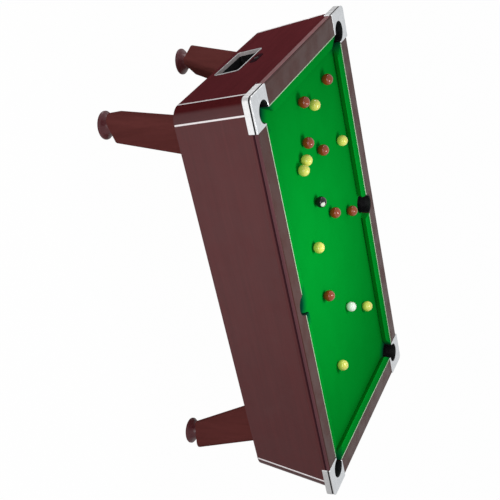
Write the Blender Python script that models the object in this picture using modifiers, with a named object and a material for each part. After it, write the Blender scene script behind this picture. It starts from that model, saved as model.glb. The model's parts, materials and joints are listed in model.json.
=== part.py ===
"""Coin-operated pool table: slate bed on a tapered cabinet, with ball return, coin slide and cash box.

X runs along the length with the ball window at -X, Y across the width, Z up from the floor. Metres.
"""

from math import atan2, cos, pi, radians, sin

import bmesh
import bpy
from mathutils import Matrix, Vector

# Clearance between pieces that touch, and how far joined shapes run into each other
FIT = 0.0003
LAP = 0.002

# Playing field, cushion nose to cushion nose, and the frame round it
PLAY_LENGTH = 1.676
PLAY_WIDTH = 0.838
CUSHION_WIDTH = 0.045
CUSHION_DROP = 0.0013
NOSE_HEIGHT = 0.0315
NOSE_LIP = 0.004
CUSHION_FOOT = 0.020
RAIL_WIDTH = 0.090
RAIL_HEIGHT = 0.0375
RAIL_TOP_ROUND = 0.014
RAIL_LOW_ROUND = 0.005
TABLE_HEIGHT = 0.791

# Bed
CLOTH_THICKNESS = 0.001
SLATE_THICKNESS = 0.019
SLATE_TO_PANEL = 0.016
SLATE_BEARING = 0.024

# Pockets
POCKET_RADIUS = 0.043
LINER_WALL = 0.003
LINER_BELOW_SLATE = 0.045
LINER_TOP_DROP = 0.003
LINER_LIP_DROP = 0.008
JAW_CLEARANCE = 0.003
CORNER_JAW_SLOPE = 1.25
MIDDLE_JAW_SLOPE = 0.20

# Corner castings
CASTING_PAST_POCKET = 0.0097
CASTING_OVERHANG = 0.005
CASTING_PROUD = 0.003
CASTING_PLATE = 0.006
CASTING_WALL = 0.014
CASTING_EDGE = 0.003
CASTING_CORNER = 0.022

# Cabinet
CABINET_BOTTOM = 0.403
CABINET_TAPER = 0.052
PANEL_INSET = 0.006
PANEL_THICKNESS = 0.018
CORNER_RADIUS = 0.064
LEDGER_HEIGHT = 0.045
BASE_RECESS = 0.006
BASE_THICKNESS = 0.018

# Legs: a rounded triangle in plan, its tip towards the corner of the table, and how far in the feet stand
FOOT_INSET_X = 0.095
FOOT_INSET_Y = 0.116
LEG_AHEAD_OF_FOOT = 0.018
LEG_SPLAY_X = 0.078
LEG_SPLAY_Y = 0.063
LEG_FOOT_BACK = 0.145
LEG_FOOT_DEPTH = 0.122
LEG_HEAD_BACK = 0.179
LEG_HEAD_DEPTH = 0.180
LEG_TIP_RADIUS = 0.034
LEG_BACK_RADIUS = 0.018

# Levelling feet
FOOT_HEIGHT = 0.054
FOOT_RADIUS = 0.0615
FOOT_RIM = 0.010
FOOT_CHAMFER = 0.003
NECK_RADIUS = 0.032
NECK_LENGTH = 0.004
STUD_RADIUS = 0.008
STUD_LENGTH = 0.050
STUD_BORE_SPARE = 0.006

# Ball window and tray in the -X end
WINDOW_Y = 0.005
WINDOW_WIDTH = 0.260
WINDOW_ABOVE_BASE = 0.0125
WINDOW_HEIGHT = 0.1035
TRAY_WALL = 0.004
TRAY_DEPTH = 0.144
WINDOW_FRAME = 0.006
FRAME_THICKNESS = 0.003
ENTRY_WIDTH = 0.064
ENTRY_HEIGHT = 0.058

# Ball deck: falls to the window end and to the middle, with two wings that fall back from that end
DECK_FROM_TRAY = 0.005
DECK_ABOVE_BASE = 0.066
DECK_SLOPE_X = 0.030
DECK_SLOPE_Y = 0.060
DECK_WING_SLOPE = 0.250
DECK_THICKNESS = 0.009
DECK_TO_PANEL = 0.007
DECK_TRAY_GAP = 0.009
BEARER_THICKNESS = 0.018
BEARER_HALF_WIDTH = 0.260
BEARER_COUNT = 3
BEARER_FROM_TRAY = 0.130
BEARER_SPACING = 0.610

# Coin mechanism, in a recess in the +Y side, with the cash box below it
COIN_FROM_TRAY = 0.340
COIN_PLATE_GAP = 0.0017
COIN_TRAVEL = 0.060
RECESS_WIDTH = 0.112
RECESS_HEIGHT = 0.072
RECESS_DEPTH = 0.050
RECESS_WALL = 0.004
GUIDE_LENGTH = 0.060
GUIDE_SIDE = 0.011
GUIDE_COVER = 0.0085
SLIDE_WIDTH = 0.058
SLIDE_THICKNESS = 0.007
SLIDE_TAIL = 0.060
HANDLE_WIDTH = 0.076
HANDLE_HEIGHT = 0.020
HANDLE_THICKNESS = 0.014
HANDLE_SPARE = 0.002
PUSH_ROD_WIDTH = 0.016
STOP_THICKNESS = 0.006
STOP_OVERLAP = 0.004
STOP_GAP = 0.009
STOP_ABOVE_DECK = 0.010
CASH_WIDTH = 0.146
CASH_HEIGHT = 0.098
CASH_DEPTH = 0.108
CASH_WALL = 0.003
CASH_PLATE_MARGIN = 0.010
COMPARTMENT_MARGIN = 0.015

# Balls, and how far each lies from the cushions along X and Y: a negative distance counts from the + side.
# One yellow ball lies close beside another.
OBJECT_BALL = 0.0508
CUE_BALL = 0.0476
RED_PLACES = (
    (0.106, -0.159), (0.091, 0.379), (0.364, -0.349), (0.263, 0.343), (0.779, -0.138), (0.680, -0.344),
    (-0.699, 0.253),
)
YELLOW_PLACES = (
    (0.427, -0.109), (0.148, -0.352), (0.321, 0.292), (0.722, 0.244), (-0.374, -0.161), (-0.315, 0.255),
)
BLACK_PLACE = (0.555, 0.358)
CUE_PLACE = (-0.495, -0.356)
PAIRED_YELLOW = 3
PAIR_GAP = 0.003
PAIR_DEGREES = -62.5

# Facets of round pieces
POCKET_STEPS = 24
FOOT_STEPS = 20
FLARE_STEPS = 5
BALL_SEGMENTS = 16
BALL_RINGS = 8
ARC_STEPS = 6
ROUND_STEPS = 4

# Heights that follow
RAIL_BOTTOM = TABLE_HEIGHT - RAIL_HEIGHT
CLOTH_TOP = RAIL_BOTTOM - FIT
SLATE_TOP = CLOTH_TOP - CLOTH_THICKNESS - FIT
SLATE_BOTTOM = SLATE_TOP - SLATE_THICKNESS
LEDGER_TOP = SLATE_BOTTOM - FIT
PANEL_TOP = CLOTH_TOP
BASE_BOTTOM = CABINET_BOTTOM + BASE_RECESS
BASE_TOP = BASE_BOTTOM + BASE_THICKNESS
LEG_TOP = BASE_BOTTOM - FIT
LEG_BOTTOM = FOOT_HEIGHT + FIT
CASTING_TOP = TABLE_HEIGHT + CASTING_PROUD

# Plan sizes that follow, from the middle of the table
RAIL_INNER_X = PLAY_LENGTH / 2 + CUSHION_WIDTH
RAIL_INNER_Y = PLAY_WIDTH / 2 + CUSHION_WIDTH
PANEL_TOP_X = RAIL_INNER_X + RAIL_WIDTH - PANEL_INSET
PANEL_TOP_Y = RAIL_INNER_Y + RAIL_WIDTH - PANEL_INSET
SLATE_X = PANEL_TOP_X - PANEL_THICKNESS - SLATE_TO_PANEL
SLATE_Y = PANEL_TOP_Y - PANEL_THICKNESS - SLATE_TO_PANEL
POCKET_HOLE = POCKET_RADIUS + LINER_WALL + FIT
TAPER = CABINET_TAPER / (PANEL_TOP - CABINET_BOTTOM)
CASTING_OUTER = RAIL_WIDTH + CASTING_OVERHANG
CASTING_END = -POCKET_HOLE - CASTING_PAST_POCKET
FOOT_X = PANEL_TOP_X - CABINET_TAPER - FOOT_INSET_X
FOOT_Y = PANEL_TOP_Y - CABINET_TAPER - FOOT_INSET_Y
CORNERS = {"window_near": (-1, -1), "window_far": (-1, 1), "end_far": (1, 1), "end_near": (1, -1)}
QUARTER_TURNS = {"end_far": 0, "window_far": 1, "window_near": 2, "end_near": 3}
THROUGH = 0.2


def outer_x(z):
    """Outer face of the end panels at a height, from the middle of the table."""
    return PANEL_TOP_X - TAPER * (PANEL_TOP - z)


def outer_y(z):
    """Outer face of the side panels at a height, from the middle of the table."""
    return PANEL_TOP_Y - TAPER * (PANEL_TOP - z)


# Places inside the cabinet that follow
WINDOW_LOW = BASE_TOP + WINDOW_ABOVE_BASE
TRAY_BACK_X = TRAY_DEPTH - outer_x(WINDOW_LOW)
DECK_VALLEY_X = TRAY_BACK_X + DECK_FROM_TRAY
DECK_VALLEY_Z = BASE_TOP + DECK_ABOVE_BASE
CASH_LOW = BASE_TOP + FIT
CASH_HIGH = CASH_LOW + CASH_HEIGHT
COIN_PLATE_RIM = RECESS_WALL + WINDOW_FRAME
COIN_X = TRAY_BACK_X + COIN_FROM_TRAY
COIN_Z = CASH_HIGH + CASH_PLATE_MARGIN + COIN_PLATE_GAP + COIN_PLATE_RIM + RECESS_HEIGHT / 2


def deck_top(x, y):
    """Height of the ball deck's upper surface."""
    fall = DECK_SLOPE_X if x > DECK_VALLEY_X else DECK_WING_SLOPE
    return DECK_VALLEY_Z + fall * abs(x - DECK_VALLEY_X) + DECK_SLOPE_Y * abs(y)


# Scene, materials and object helpers

for old in list(bpy.data.objects):
    bpy.data.objects.remove(old, do_unlink=True)

parts = bpy.data.collections.new("pool_table")
cutters = bpy.data.collections.new("pool_table_cutters")
for group in (parts, cutters):
    bpy.context.scene.collection.children.link(group)


def material(name, colour, roughness, metallic=0.0):
    made = bpy.data.materials.new(name)
    made.use_nodes = True
    shader = made.node_tree.nodes["Principled BSDF"]
    shader.inputs["Base Color"].default_value = (*colour, 1.0)
    shader.inputs["Roughness"].default_value = roughness
    shader.inputs["Metallic"].default_value = metallic
    return made


MAHOGANY = material("mahogany_laminate", (0.105, 0.030, 0.034), 0.40)
RAIL_WOOD = material("rail_laminate", (0.100, 0.060, 0.058), 0.35)
CLOTH = material("green_cloth", (0.0, 0.30, 0.025), 0.95)
CHROME = material("polished_casting", (0.78, 0.79, 0.80), 0.15, 1.0)
STEEL = material("bright_steel", (0.60, 0.60, 0.60), 0.30, 1.0)
PLASTIC = material("black_plastic", (0.012, 0.012, 0.012), 0.45)
SLATE = material("slate", (0.10, 0.11, 0.12), 0.70)
PLYWOOD = material("plywood", (0.45, 0.32, 0.20), 0.60)
RED = material("red_resin", (0.36, 0.05, 0.015), 0.12)
YELLOW = material("yellow_resin", (0.75, 0.66, 0.10), 0.12)
BLACK = material("black_resin", (0.01, 0.01, 0.01), 0.10)
WHITE = material("white_resin", (0.85, 0.88, 0.80), 0.12)


def placed(name, mesh, finish, location=(0, 0, 0), turn=0.0, group=parts):
    """An object of this mesh in the model, turned about Z at its own origin."""
    made = bpy.data.objects.new(name, mesh)
    made.location = location
    made.rotation_euler.z = turn
    if finish and not mesh.materials:
        mesh.materials.append(finish)
    group.objects.link(made)
    return made


def cutter(name, mesh, location=(0, 0, 0), turn=0.0):
    made = placed(name, mesh, None, location, turn, cutters)
    made.hide_render = True
    made.display_type = "WIRE"
    return made


def combine(target, other, operation):
    modifier = target.modifiers.new(f"{operation.lower()}_{other.name}", "BOOLEAN")
    modifier.operation = operation
    modifier.solver = "EXACT"
    modifier.object = other
    return modifier


def mesh_from(bm, name):
    bmesh.ops.recalc_face_normals(bm, faces=bm.faces)
    mesh = bpy.data.meshes.new(name)
    bm.to_mesh(mesh)
    bm.free()
    return mesh


def smooth(mesh, degrees=35):
    mesh.shade_smooth()
    mesh.set_sharp_from_angle(angle=radians(degrees))


def box_mesh(name, low, high):
    """A box between two corners."""
    bm = bmesh.new()
    size = Vector(high) - Vector(low)
    middle = (Vector(high) + Vector(low)) / 2
    bmesh.ops.create_cube(bm, matrix=Matrix.Translation(middle) @ Matrix.Diagonal((*size, 1.0)))
    return mesh_from(bm, name)


def cylinder_mesh(name, radius, low, high, steps):
    bm = bmesh.new()
    bmesh.ops.create_cone(
        bm, cap_ends=True, segments=steps, radius1=radius, radius2=radius, depth=high - low,
        matrix=Matrix.Translation((0, 0, (low + high) / 2)),
    )
    return mesh_from(bm, name)


def swept_mesh(name, profile, start, finish):
    """A closed profile swept straight: start and finish say where each end has a point of the profile."""
    bm = bmesh.new()
    first = bm.faces.new([bm.verts.new(start(*point)) for point in profile])
    moves = {tuple(vertex.co): finish(*point) for vertex, point in zip(first.verts, profile)}
    grown = bmesh.ops.extrude_face_region(bm, geom=[first], use_keep_orig=True)
    for vertex in (piece for piece in grown["geom"] if isinstance(piece, bmesh.types.BMVert)):
        vertex.co = moves[tuple(vertex.co)]
    return mesh_from(bm, name)


def plate_mesh(name, outline, low, high):
    """A flat outline filled and extruded between two heights."""
    curve = bpy.data.curves.new(name, "CURVE")
    curve.dimensions = "2D"
    curve.fill_mode = "BOTH"
    curve.extrude = (high - low) / 2
    spline = curve.splines.new("POLY")
    spline.points.add(len(outline) - 1)
    for point, (x, y) in zip(spline.points, outline):
        point.co = (x, y, 0, 1)
    spline.use_cyclic_u = True
    holder = bpy.data.objects.new(name, curve)
    bpy.context.scene.collection.objects.link(holder)
    bpy.context.view_layer.update()
    flat = bpy.data.meshes.new_from_object(holder.evaluated_get(bpy.context.evaluated_depsgraph_get()))
    bpy.data.objects.remove(holder, do_unlink=True)
    bm = bmesh.new()
    bm.from_mesh(flat)
    bpy.data.meshes.remove(flat)
    bmesh.ops.remove_doubles(bm, verts=bm.verts, dist=1e-5)
    bmesh.ops.translate(bm, verts=bm.verts, vec=(0, 0, (low + high) / 2))
    return mesh_from(bm, name)


def turned(name, profile, steps, finish, location=(0, 0, 0), group=parts):
    """A profile of (radius, height) from top to bottom, turned about Z."""
    mesh = bpy.data.meshes.new(name)
    edges = [(i, i + 1) for i in range(len(profile) - 1)]
    mesh.from_pydata([(radius, 0, height) for radius, height in profile], edges, [])
    made = placed(name, mesh, finish, location, group=group)
    screw = made.modifiers.new("turn", "SCREW")
    screw.steps = steps
    screw.render_steps = steps
    screw.use_merge_vertices = True
    screw.merge_threshold = 0.0001
    screw.use_smooth_shade = True
    return made


def arc(middle, radius, first, last, steps):
    """Points of an arc between two angles in degrees."""
    angles = [radians(first + (last - first) * i / steps) for i in range(steps + 1)]
    return [(middle[0] + radius * cos(a), middle[1] + radius * sin(a)) for a in angles]


def rounded(mesh_object, width, segments, degrees=50):
    bevel = mesh_object.modifiers.new("round", "BEVEL")
    bevel.width = width
    bevel.segments = segments
    bevel.limit_method = "ANGLE"
    bevel.angle_limit = radians(degrees)
    return bevel


# Pockets: where they are and which way is out of the table

POCKETS = {name: (Vector((sx * RAIL_INNER_X, sy * RAIL_INNER_Y)), Vector((sx, sy)).normalized())
           for name, (sx, sy) in CORNERS.items()}
POCKETS["middle_near"] = (Vector((0, -RAIL_INNER_Y)), Vector((0, -1)))
POCKETS["middle_far"] = (Vector((0, RAIL_INNER_Y)), Vector((0, 1)))


def pocket_turn(outward):
    """Turn about Z that takes +X to the way out of the pocket."""
    return atan2(outward.y, outward.x)


def slot_outline():
    """Round towards the field, straight out over the edge of the slate."""
    round_end = arc((0, 0), POCKET_HOLE, 90, 270, POCKET_STEPS // 2)
    return round_end + [(THROUGH, -POCKET_HOLE), (THROUGH, POCKET_HOLE)]


# Bed: slate and cloth, both open at the six pockets

def make_bed():
    slate = placed("slate_bed", box_mesh("slate_bed", (-SLATE_X, -SLATE_Y, SLATE_BOTTOM),
                                         (SLATE_X, SLATE_Y, SLATE_TOP)), SLATE)
    cloth = placed("bed_cloth", box_mesh("bed_cloth", (-SLATE_X, -SLATE_Y, CLOTH_TOP - CLOTH_THICKNESS),
                                         (SLATE_X, SLATE_Y, CLOTH_TOP)), CLOTH)
    for name, (place, outward) in POCKETS.items():
        slot = plate_mesh(f"slot_{name}", slot_outline(), SLATE_BOTTOM - LAP, CLOTH_TOP + LAP)
        cut = cutter(f"slot_{name}", slot, (*place, 0), pocket_turn(outward))
        combine(slate, cut, "DIFFERENCE")
        combine(cloth, cut, "DIFFERENCE")


# Cushions: six lengths between the pockets, cut back at an angle at each jaw

def cushion_profile():
    """(depth from the rail, height): back, foot, undercut, nose and sloping top."""
    low = CLOTH_TOP + FIT
    nose = CLOTH_TOP + NOSE_HEIGHT
    return [
        (FIT, low),
        (CUSHION_FOOT, low),
        (CUSHION_WIDTH - NOSE_LIP, nose - NOSE_LIP),
        (CUSHION_WIDTH, nose),
        (CUSHION_WIDTH - NOSE_LIP, nose + NOSE_LIP / 2),
        (FIT, TABLE_HEIGHT - CUSHION_DROP),
    ]


def make_cushion(name, rail_distance, turn, low_end, high_end):
    """A cushion along the local X at local -Y; each end is (place at the rail, slope of its jaw)."""
    jaw = POCKET_HOLE + JAW_CLEARANCE

    def at_end(place, slope, inward):
        return lambda depth, z: (place + inward * (jaw + slope * depth), depth - rail_distance, z)

    mesh = swept_mesh(name, cushion_profile(), at_end(*low_end, 1), at_end(*high_end, -1))
    placed(name, mesh, CLOTH, turn=turn)


def make_cushions():
    corner_low = (-RAIL_INNER_X, CORNER_JAW_SLOPE)
    corner_high = (RAIL_INNER_X, CORNER_JAW_SLOPE)
    middle = (0, MIDDLE_JAW_SLOPE)
    make_cushion("cushion_near_window", RAIL_INNER_Y, 0, corner_low, middle)
    make_cushion("cushion_near_end", RAIL_INNER_Y, 0, middle, corner_high)
    make_cushion("cushion_far_end", RAIL_INNER_Y, pi, corner_low, middle)
    make_cushion("cushion_far_window", RAIL_INNER_Y, pi, middle, corner_high)
    across_low = (-RAIL_INNER_Y, CORNER_JAW_SLOPE)
    across_high = (RAIL_INNER_Y, CORNER_JAW_SLOPE)
    make_cushion("cushion_window_end", RAIL_INNER_X, -pi / 2, across_low, across_high)
    make_cushion("cushion_far_end_wall", RAIL_INNER_X, pi / 2, across_low, across_high)


# Rails: a bullnosed board on each side, with the middle pockets cut into the long ones

def rail_profile():
    outer = RAIL_WIDTH
    top = arc((outer - RAIL_TOP_ROUND, TABLE_HEIGHT - RAIL_TOP_ROUND), RAIL_TOP_ROUND, 0, 90, ROUND_STEPS)
    low = arc((outer - RAIL_LOW_ROUND, RAIL_BOTTOM + RAIL_LOW_ROUND), RAIL_LOW_ROUND, -90, 0, ROUND_STEPS)
    return [(0, RAIL_BOTTOM)] + low + top + [(0, TABLE_HEIGHT)]


def make_rail(name, rail_distance, half_length, turn):
    mesh = swept_mesh(
        name, rail_profile(),
        lambda out, z: (-half_length, -rail_distance - out, z),
        lambda out, z: (half_length, -rail_distance - out, z),
    )
    smooth(mesh)
    return placed(name, mesh, RAIL_WOOD, turn=turn)


def make_rails():
    half_long = RAIL_INNER_X + CASTING_END - FIT
    half_short = RAIL_INNER_Y + CASTING_END - FIT
    long_rails = {
        "middle_near": make_rail("rail_near", RAIL_INNER_Y, half_long, 0),
        "middle_far": make_rail("rail_far", RAIL_INNER_Y, half_long, pi),
    }
    make_rail("rail_window_end", RAIL_INNER_X, half_short, -pi / 2)
    make_rail("rail_far_end", RAIL_INNER_X, half_short, pi / 2)
    for name, rail in long_rails.items():
        place, _ = POCKETS[name]
        hole = cylinder_mesh(f"hole_{name}", POCKET_HOLE, RAIL_BOTTOM - LAP, TABLE_HEIGHT + LAP, POCKET_STEPS)
        combine(rail, cutter(f"hole_{name}", hole, (*place, 0)), "DIFFERENCE")


# Corner castings: a plate round the pocket with a skirt down the outside

def casting_outline():
    outer = CASTING_OUTER
    middle = outer - CASTING_CORNER
    corner = arc((middle, middle), CASTING_CORNER, 90, 0, ARC_STEPS)
    mouth = arc((0, 0), POCKET_HOLE, -90, 180, POCKET_STEPS * 3 // 4)
    rim = [(CASTING_END, outer)] + corner + [(outer, CASTING_END)]
    return rim + [(0, CASTING_END)] + mouth + [(CASTING_END, 0)]


def casting_hollow():
    outer = CASTING_OUTER - CASTING_WALL
    middle = CASTING_OUTER - CASTING_CORNER
    corner = arc((middle, middle), CASTING_CORNER - CASTING_WALL, 90, 0, ARC_STEPS)
    low = CASTING_END - LAP
    return [(low, low), (low, outer)] + corner + [(outer, low)]


def make_castings():
    plate = plate_mesh("casting", casting_outline(), RAIL_BOTTOM, CASTING_TOP)
    hollow = plate_mesh("casting_hollow", casting_hollow(), RAIL_BOTTOM - LAP, CASTING_TOP - CASTING_PLATE)
    for name, quarter in QUARTER_TURNS.items():
        place, _ = POCKETS[name]
        casting = placed(f"casting_{name}", plate, CHROME, (*place, 0), quarter * pi / 2)
        cut = cutter(f"casting_hollow_{name}", hollow, (*place, 0), quarter * pi / 2)
        combine(casting, cut, "DIFFERENCE")
        rounded(casting, CASTING_EDGE, 2, 80)


# Pocket liners: a tube below the slate, and its back half up to the rail

def make_liners():
    high = TABLE_HEIGHT - LINER_TOP_DROP
    low = SLATE_BOTTOM - LINER_BELOW_SLATE
    outer = POCKET_RADIUS + LINER_WALL
    ring = [(outer, high), (outer, low), (POCKET_RADIUS, low), (POCKET_RADIUS, high), (outer, high)]
    lip = SLATE_TOP - LINER_LIP_DROP
    front = box_mesh("liner_front", (-THROUGH, -THROUGH, lip), (0, THROUGH, high + LAP))
    for name, (place, outward) in POCKETS.items():
        liner = turned(f"liner_{name}", ring, POCKET_STEPS, PLASTIC, (*place, 0))
        combine(liner, cutter(f"liner_front_{name}", front, (*place, 0), pocket_turn(outward)), "DIFFERENCE")


# Cabinet: four tapered panels with a ledger for the slate, four round posts and the base board

def panel_profile(outer, slate_half):
    """(distance from the middle, height) of a panel with its ledger."""
    def inner(z):
        return outer(z) - PANEL_THICKNESS

    ledger_low = LEDGER_TOP - LEDGER_HEIGHT
    ledger_in = slate_half - SLATE_BEARING
    return [
        (outer(CABINET_BOTTOM), CABINET_BOTTOM),
        (outer(PANEL_TOP), PANEL_TOP),
        (inner(PANEL_TOP), PANEL_TOP),
        (inner(LEDGER_TOP), LEDGER_TOP),
        (ledger_in, LEDGER_TOP),
        (ledger_in, ledger_low),
        (inner(ledger_low), ledger_low),
        (inner(CABINET_BOTTOM), CABINET_BOTTOM),
    ]


def make_panel(name, outer, slate_half, across, turn):
    """A panel at local -Y whose ends meet the posts of the two panels across it."""
    def end(side):
        return lambda out, z: (side * (across(z) - CORNER_RADIUS - FIT), -out, z)

    mesh = swept_mesh(name, panel_profile(outer, slate_half), end(-1), end(1))
    return placed(name, mesh, MAHOGANY, turn=turn)


def clear_ledgers(panels):
    """Cuts each panel's ledger away round the pocket liners that pass it."""
    low = LEDGER_TOP - LEDGER_HEIGHT - LAP
    for name, (place, outward) in POCKETS.items():
        mesh = cylinder_mesh(f"liner_room_{name}", POCKET_HOLE + FIT, low, LEDGER_TOP + LAP, POCKET_STEPS)
        cut = cutter(f"liner_room_{name}", mesh, (*place, 0))
        for panel, way in panels.items():
            if outward.dot(way) > 0:
                combine(panel, cut, "DIFFERENCE")


def make_cabinet():
    near_side = make_panel("side_panel_near", outer_y, SLATE_Y, outer_x, 0)
    far_side = make_panel("side_panel_far", outer_y, SLATE_Y, outer_x, pi)
    window_end = make_panel("end_panel_window", outer_x, SLATE_X, outer_y, -pi / 2)
    far_end = make_panel("end_panel_far", outer_x, SLATE_X, outer_y, pi / 2)
    clear_ledgers({near_side: Vector((0, -1)), far_side: Vector((0, 1)),
                   window_end: Vector((-1, 0)), far_end: Vector((1, 0))})

    half_window = WINDOW_WIDTH / 2 + TRAY_WALL + FIT
    window_low = WINDOW_LOW - TRAY_WALL - FIT
    window_high = WINDOW_LOW + WINDOW_HEIGHT + TRAY_WALL + TAPER * 2 * PANEL_THICKNESS
    window = box_mesh("window_hole", (-outer_x(PANEL_TOP) - LAP, WINDOW_Y - half_window, window_low),
                      (TRAY_BACK_X, WINDOW_Y + half_window, window_high))
    combine(window_end, cutter("window_hole", window), "DIFFERENCE")

    half_recess = RECESS_WIDTH / 2 + RECESS_WALL + FIT
    recess_up = RECESS_HEIGHT / 2 + RECESS_WALL + FIT
    hole_in = outer_y(BASE_TOP) - THROUGH / 2
    hole_out = outer_y(PANEL_TOP) + LAP
    recess = box_mesh("recess_hole", (COIN_X - half_recess, hole_in, COIN_Z - recess_up),
                      (COIN_X + half_recess, hole_out, COIN_Z + recess_up))
    combine(far_side, cutter("recess_hole", recess), "DIFFERENCE")
    half_cash = CASH_WIDTH / 2 + FIT
    cash = box_mesh("cash_hole", (COIN_X - half_cash, hole_in, BASE_TOP),
                    (COIN_X + half_cash, hole_out, CASH_HIGH + FIT))
    combine(far_side, cutter("cash_hole", cash), "DIFFERENCE")

    quarter_round = (arc((0, 0), CORNER_RADIUS, 0, 90, ARC_STEPS)
                     + arc((0, 0), CORNER_RADIUS - PANEL_THICKNESS, 90, 0, ARC_STEPS))
    for name, (sx, sy) in CORNERS.items():
        def level(z, sx=sx, sy=sy):
            return lambda out, along: (
                sx * (outer_x(z) - CORNER_RADIUS + out), sy * (outer_y(z) - CORNER_RADIUS + along), z)

        mesh = swept_mesh(f"post_{name}", quarter_round, level(CABINET_BOTTOM), level(PANEL_TOP))
        smooth(mesh)
        placed(f"post_{name}", mesh, MAHOGANY)


def notched(x, y, corner_x, corner_y):
    """A rectangle outline with its four corners stepped in."""
    return [
        (x, -corner_y), (x, corner_y), (corner_x, corner_y), (corner_x, y),
        (-corner_x, y), (-corner_x, corner_y), (-x, corner_y), (-x, -corner_y),
        (-corner_x, -corner_y), (-corner_x, -y), (corner_x, -y), (corner_x, -corner_y),
    ]


def make_base():
    inset = PANEL_THICKNESS + FIT
    step = CORNER_RADIUS + FIT
    outline = notched(outer_x(BASE_BOTTOM) - inset, outer_y(BASE_BOTTOM) - inset,
                      outer_x(BASE_BOTTOM) - step, outer_y(BASE_BOTTOM) - step)
    placed("base_board", plate_mesh("base_board", outline, BASE_BOTTOM, BASE_TOP), PLYWOOD)


# Legs and their levelling feet

def leg_section(back, depth):
    """Rounded triangle in (towards the tip, across) about its middle."""
    half = depth / 2
    side = back / 2 - LEG_BACK_RADIUS
    tip = half - LEG_TIP_RADIUS
    heel = LEG_BACK_RADIUS - half
    slant = atan2(side - (LEG_TIP_RADIUS - LEG_BACK_RADIUS), tip - heel) * 180 / pi
    return (
        arc((tip, 0), LEG_TIP_RADIUS, slant - 90, 90 - slant, ARC_STEPS)
        + arc((heel, side), LEG_BACK_RADIUS, 90 - slant, 180, ARC_STEPS)
        + arc((heel, -side), LEG_BACK_RADIUS, 180, 270 + slant, ARC_STEPS)
    )


def leg_level(section, x, y, z, sx, sy):
    """A section set out at a height, its tip towards the corner."""
    tip = Vector((sx, sy)).normalized()
    across = Vector((-sx, sy)).normalized()
    return [(sx * x + tip.x * u + across.x * v, sy * y + tip.y * u + across.y * v, z) for u, v in section]


def make_legs():
    ahead = LEG_AHEAD_OF_FOOT / 2 ** 0.5
    low_x = FOOT_X + ahead
    low_y = FOOT_Y + ahead
    low_section = leg_section(LEG_FOOT_BACK, LEG_FOOT_DEPTH)
    high_section = leg_section(LEG_HEAD_BACK, LEG_HEAD_DEPTH)
    order = list(zip(range(len(low_section)), low_section))
    for name, (sx, sy) in CORNERS.items():
        low = leg_level(low_section, low_x, low_y, LEG_BOTTOM, sx, sy)
        high = leg_level(high_section, low_x - LEG_SPLAY_X, low_y - LEG_SPLAY_Y, LEG_TOP, sx, sy)
        mesh = swept_mesh(f"leg_{name}", order, lambda i, _: low[i], lambda i, _: high[i])
        smooth(mesh)
        leg = placed(f"leg_{name}", mesh, MAHOGANY)
        bore = cylinder_mesh(f"bore_{name}", STUD_RADIUS + FIT, LEG_BOTTOM - LAP,
                             FOOT_HEIGHT + STUD_LENGTH + STUD_BORE_SPARE, FOOT_STEPS)
        combine(leg, cutter(f"bore_{name}", bore, (sx * FOOT_X, sy * FOOT_Y, 0)), "DIFFERENCE")


def foot_profile():
    """Stud, neck, trumpet flare and rim."""
    neck_low = FOOT_HEIGHT - NECK_LENGTH
    spread = FOOT_RADIUS - NECK_RADIUS
    drop = neck_low - FOOT_RIM
    steps = [i / FLARE_STEPS for i in range(FLARE_STEPS + 1)]
    flare = [(NECK_RADIUS + spread * t * t, neck_low - drop * t) for t in steps]
    stud_top = FOOT_HEIGHT + STUD_LENGTH
    head = [(0, stud_top), (STUD_RADIUS, stud_top), (STUD_RADIUS, FOOT_HEIGHT), (NECK_RADIUS, FOOT_HEIGHT)]
    return head + flare + [(FOOT_RADIUS, FOOT_CHAMFER), (FOOT_RADIUS - FOOT_CHAMFER, 0), (0, 0)]


def make_feet():
    for name, (sx, sy) in CORNERS.items():
        turned(f"foot_{name}", foot_profile(), FOOT_STEPS, MAHOGANY, (sx * FOOT_X, sy * FOOT_Y, 0))


# Ball window and tray, and the deck that brings the balls to it

def across_prism(name, profile, middle, width):
    """A profile of (x, z) swept across the table."""
    low = middle - width / 2
    high = middle + width / 2
    return swept_mesh(name, profile, lambda x, z: (x, low, z), lambda x, z: (x, high, z))


def along_prism(name, profile, middle, width):
    """A profile of (y, z) swept along the table."""
    low = middle - width / 2
    high = middle + width / 2
    return swept_mesh(name, profile, lambda y, z: (low, y, z), lambda y, z: (high, y, z))


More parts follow.
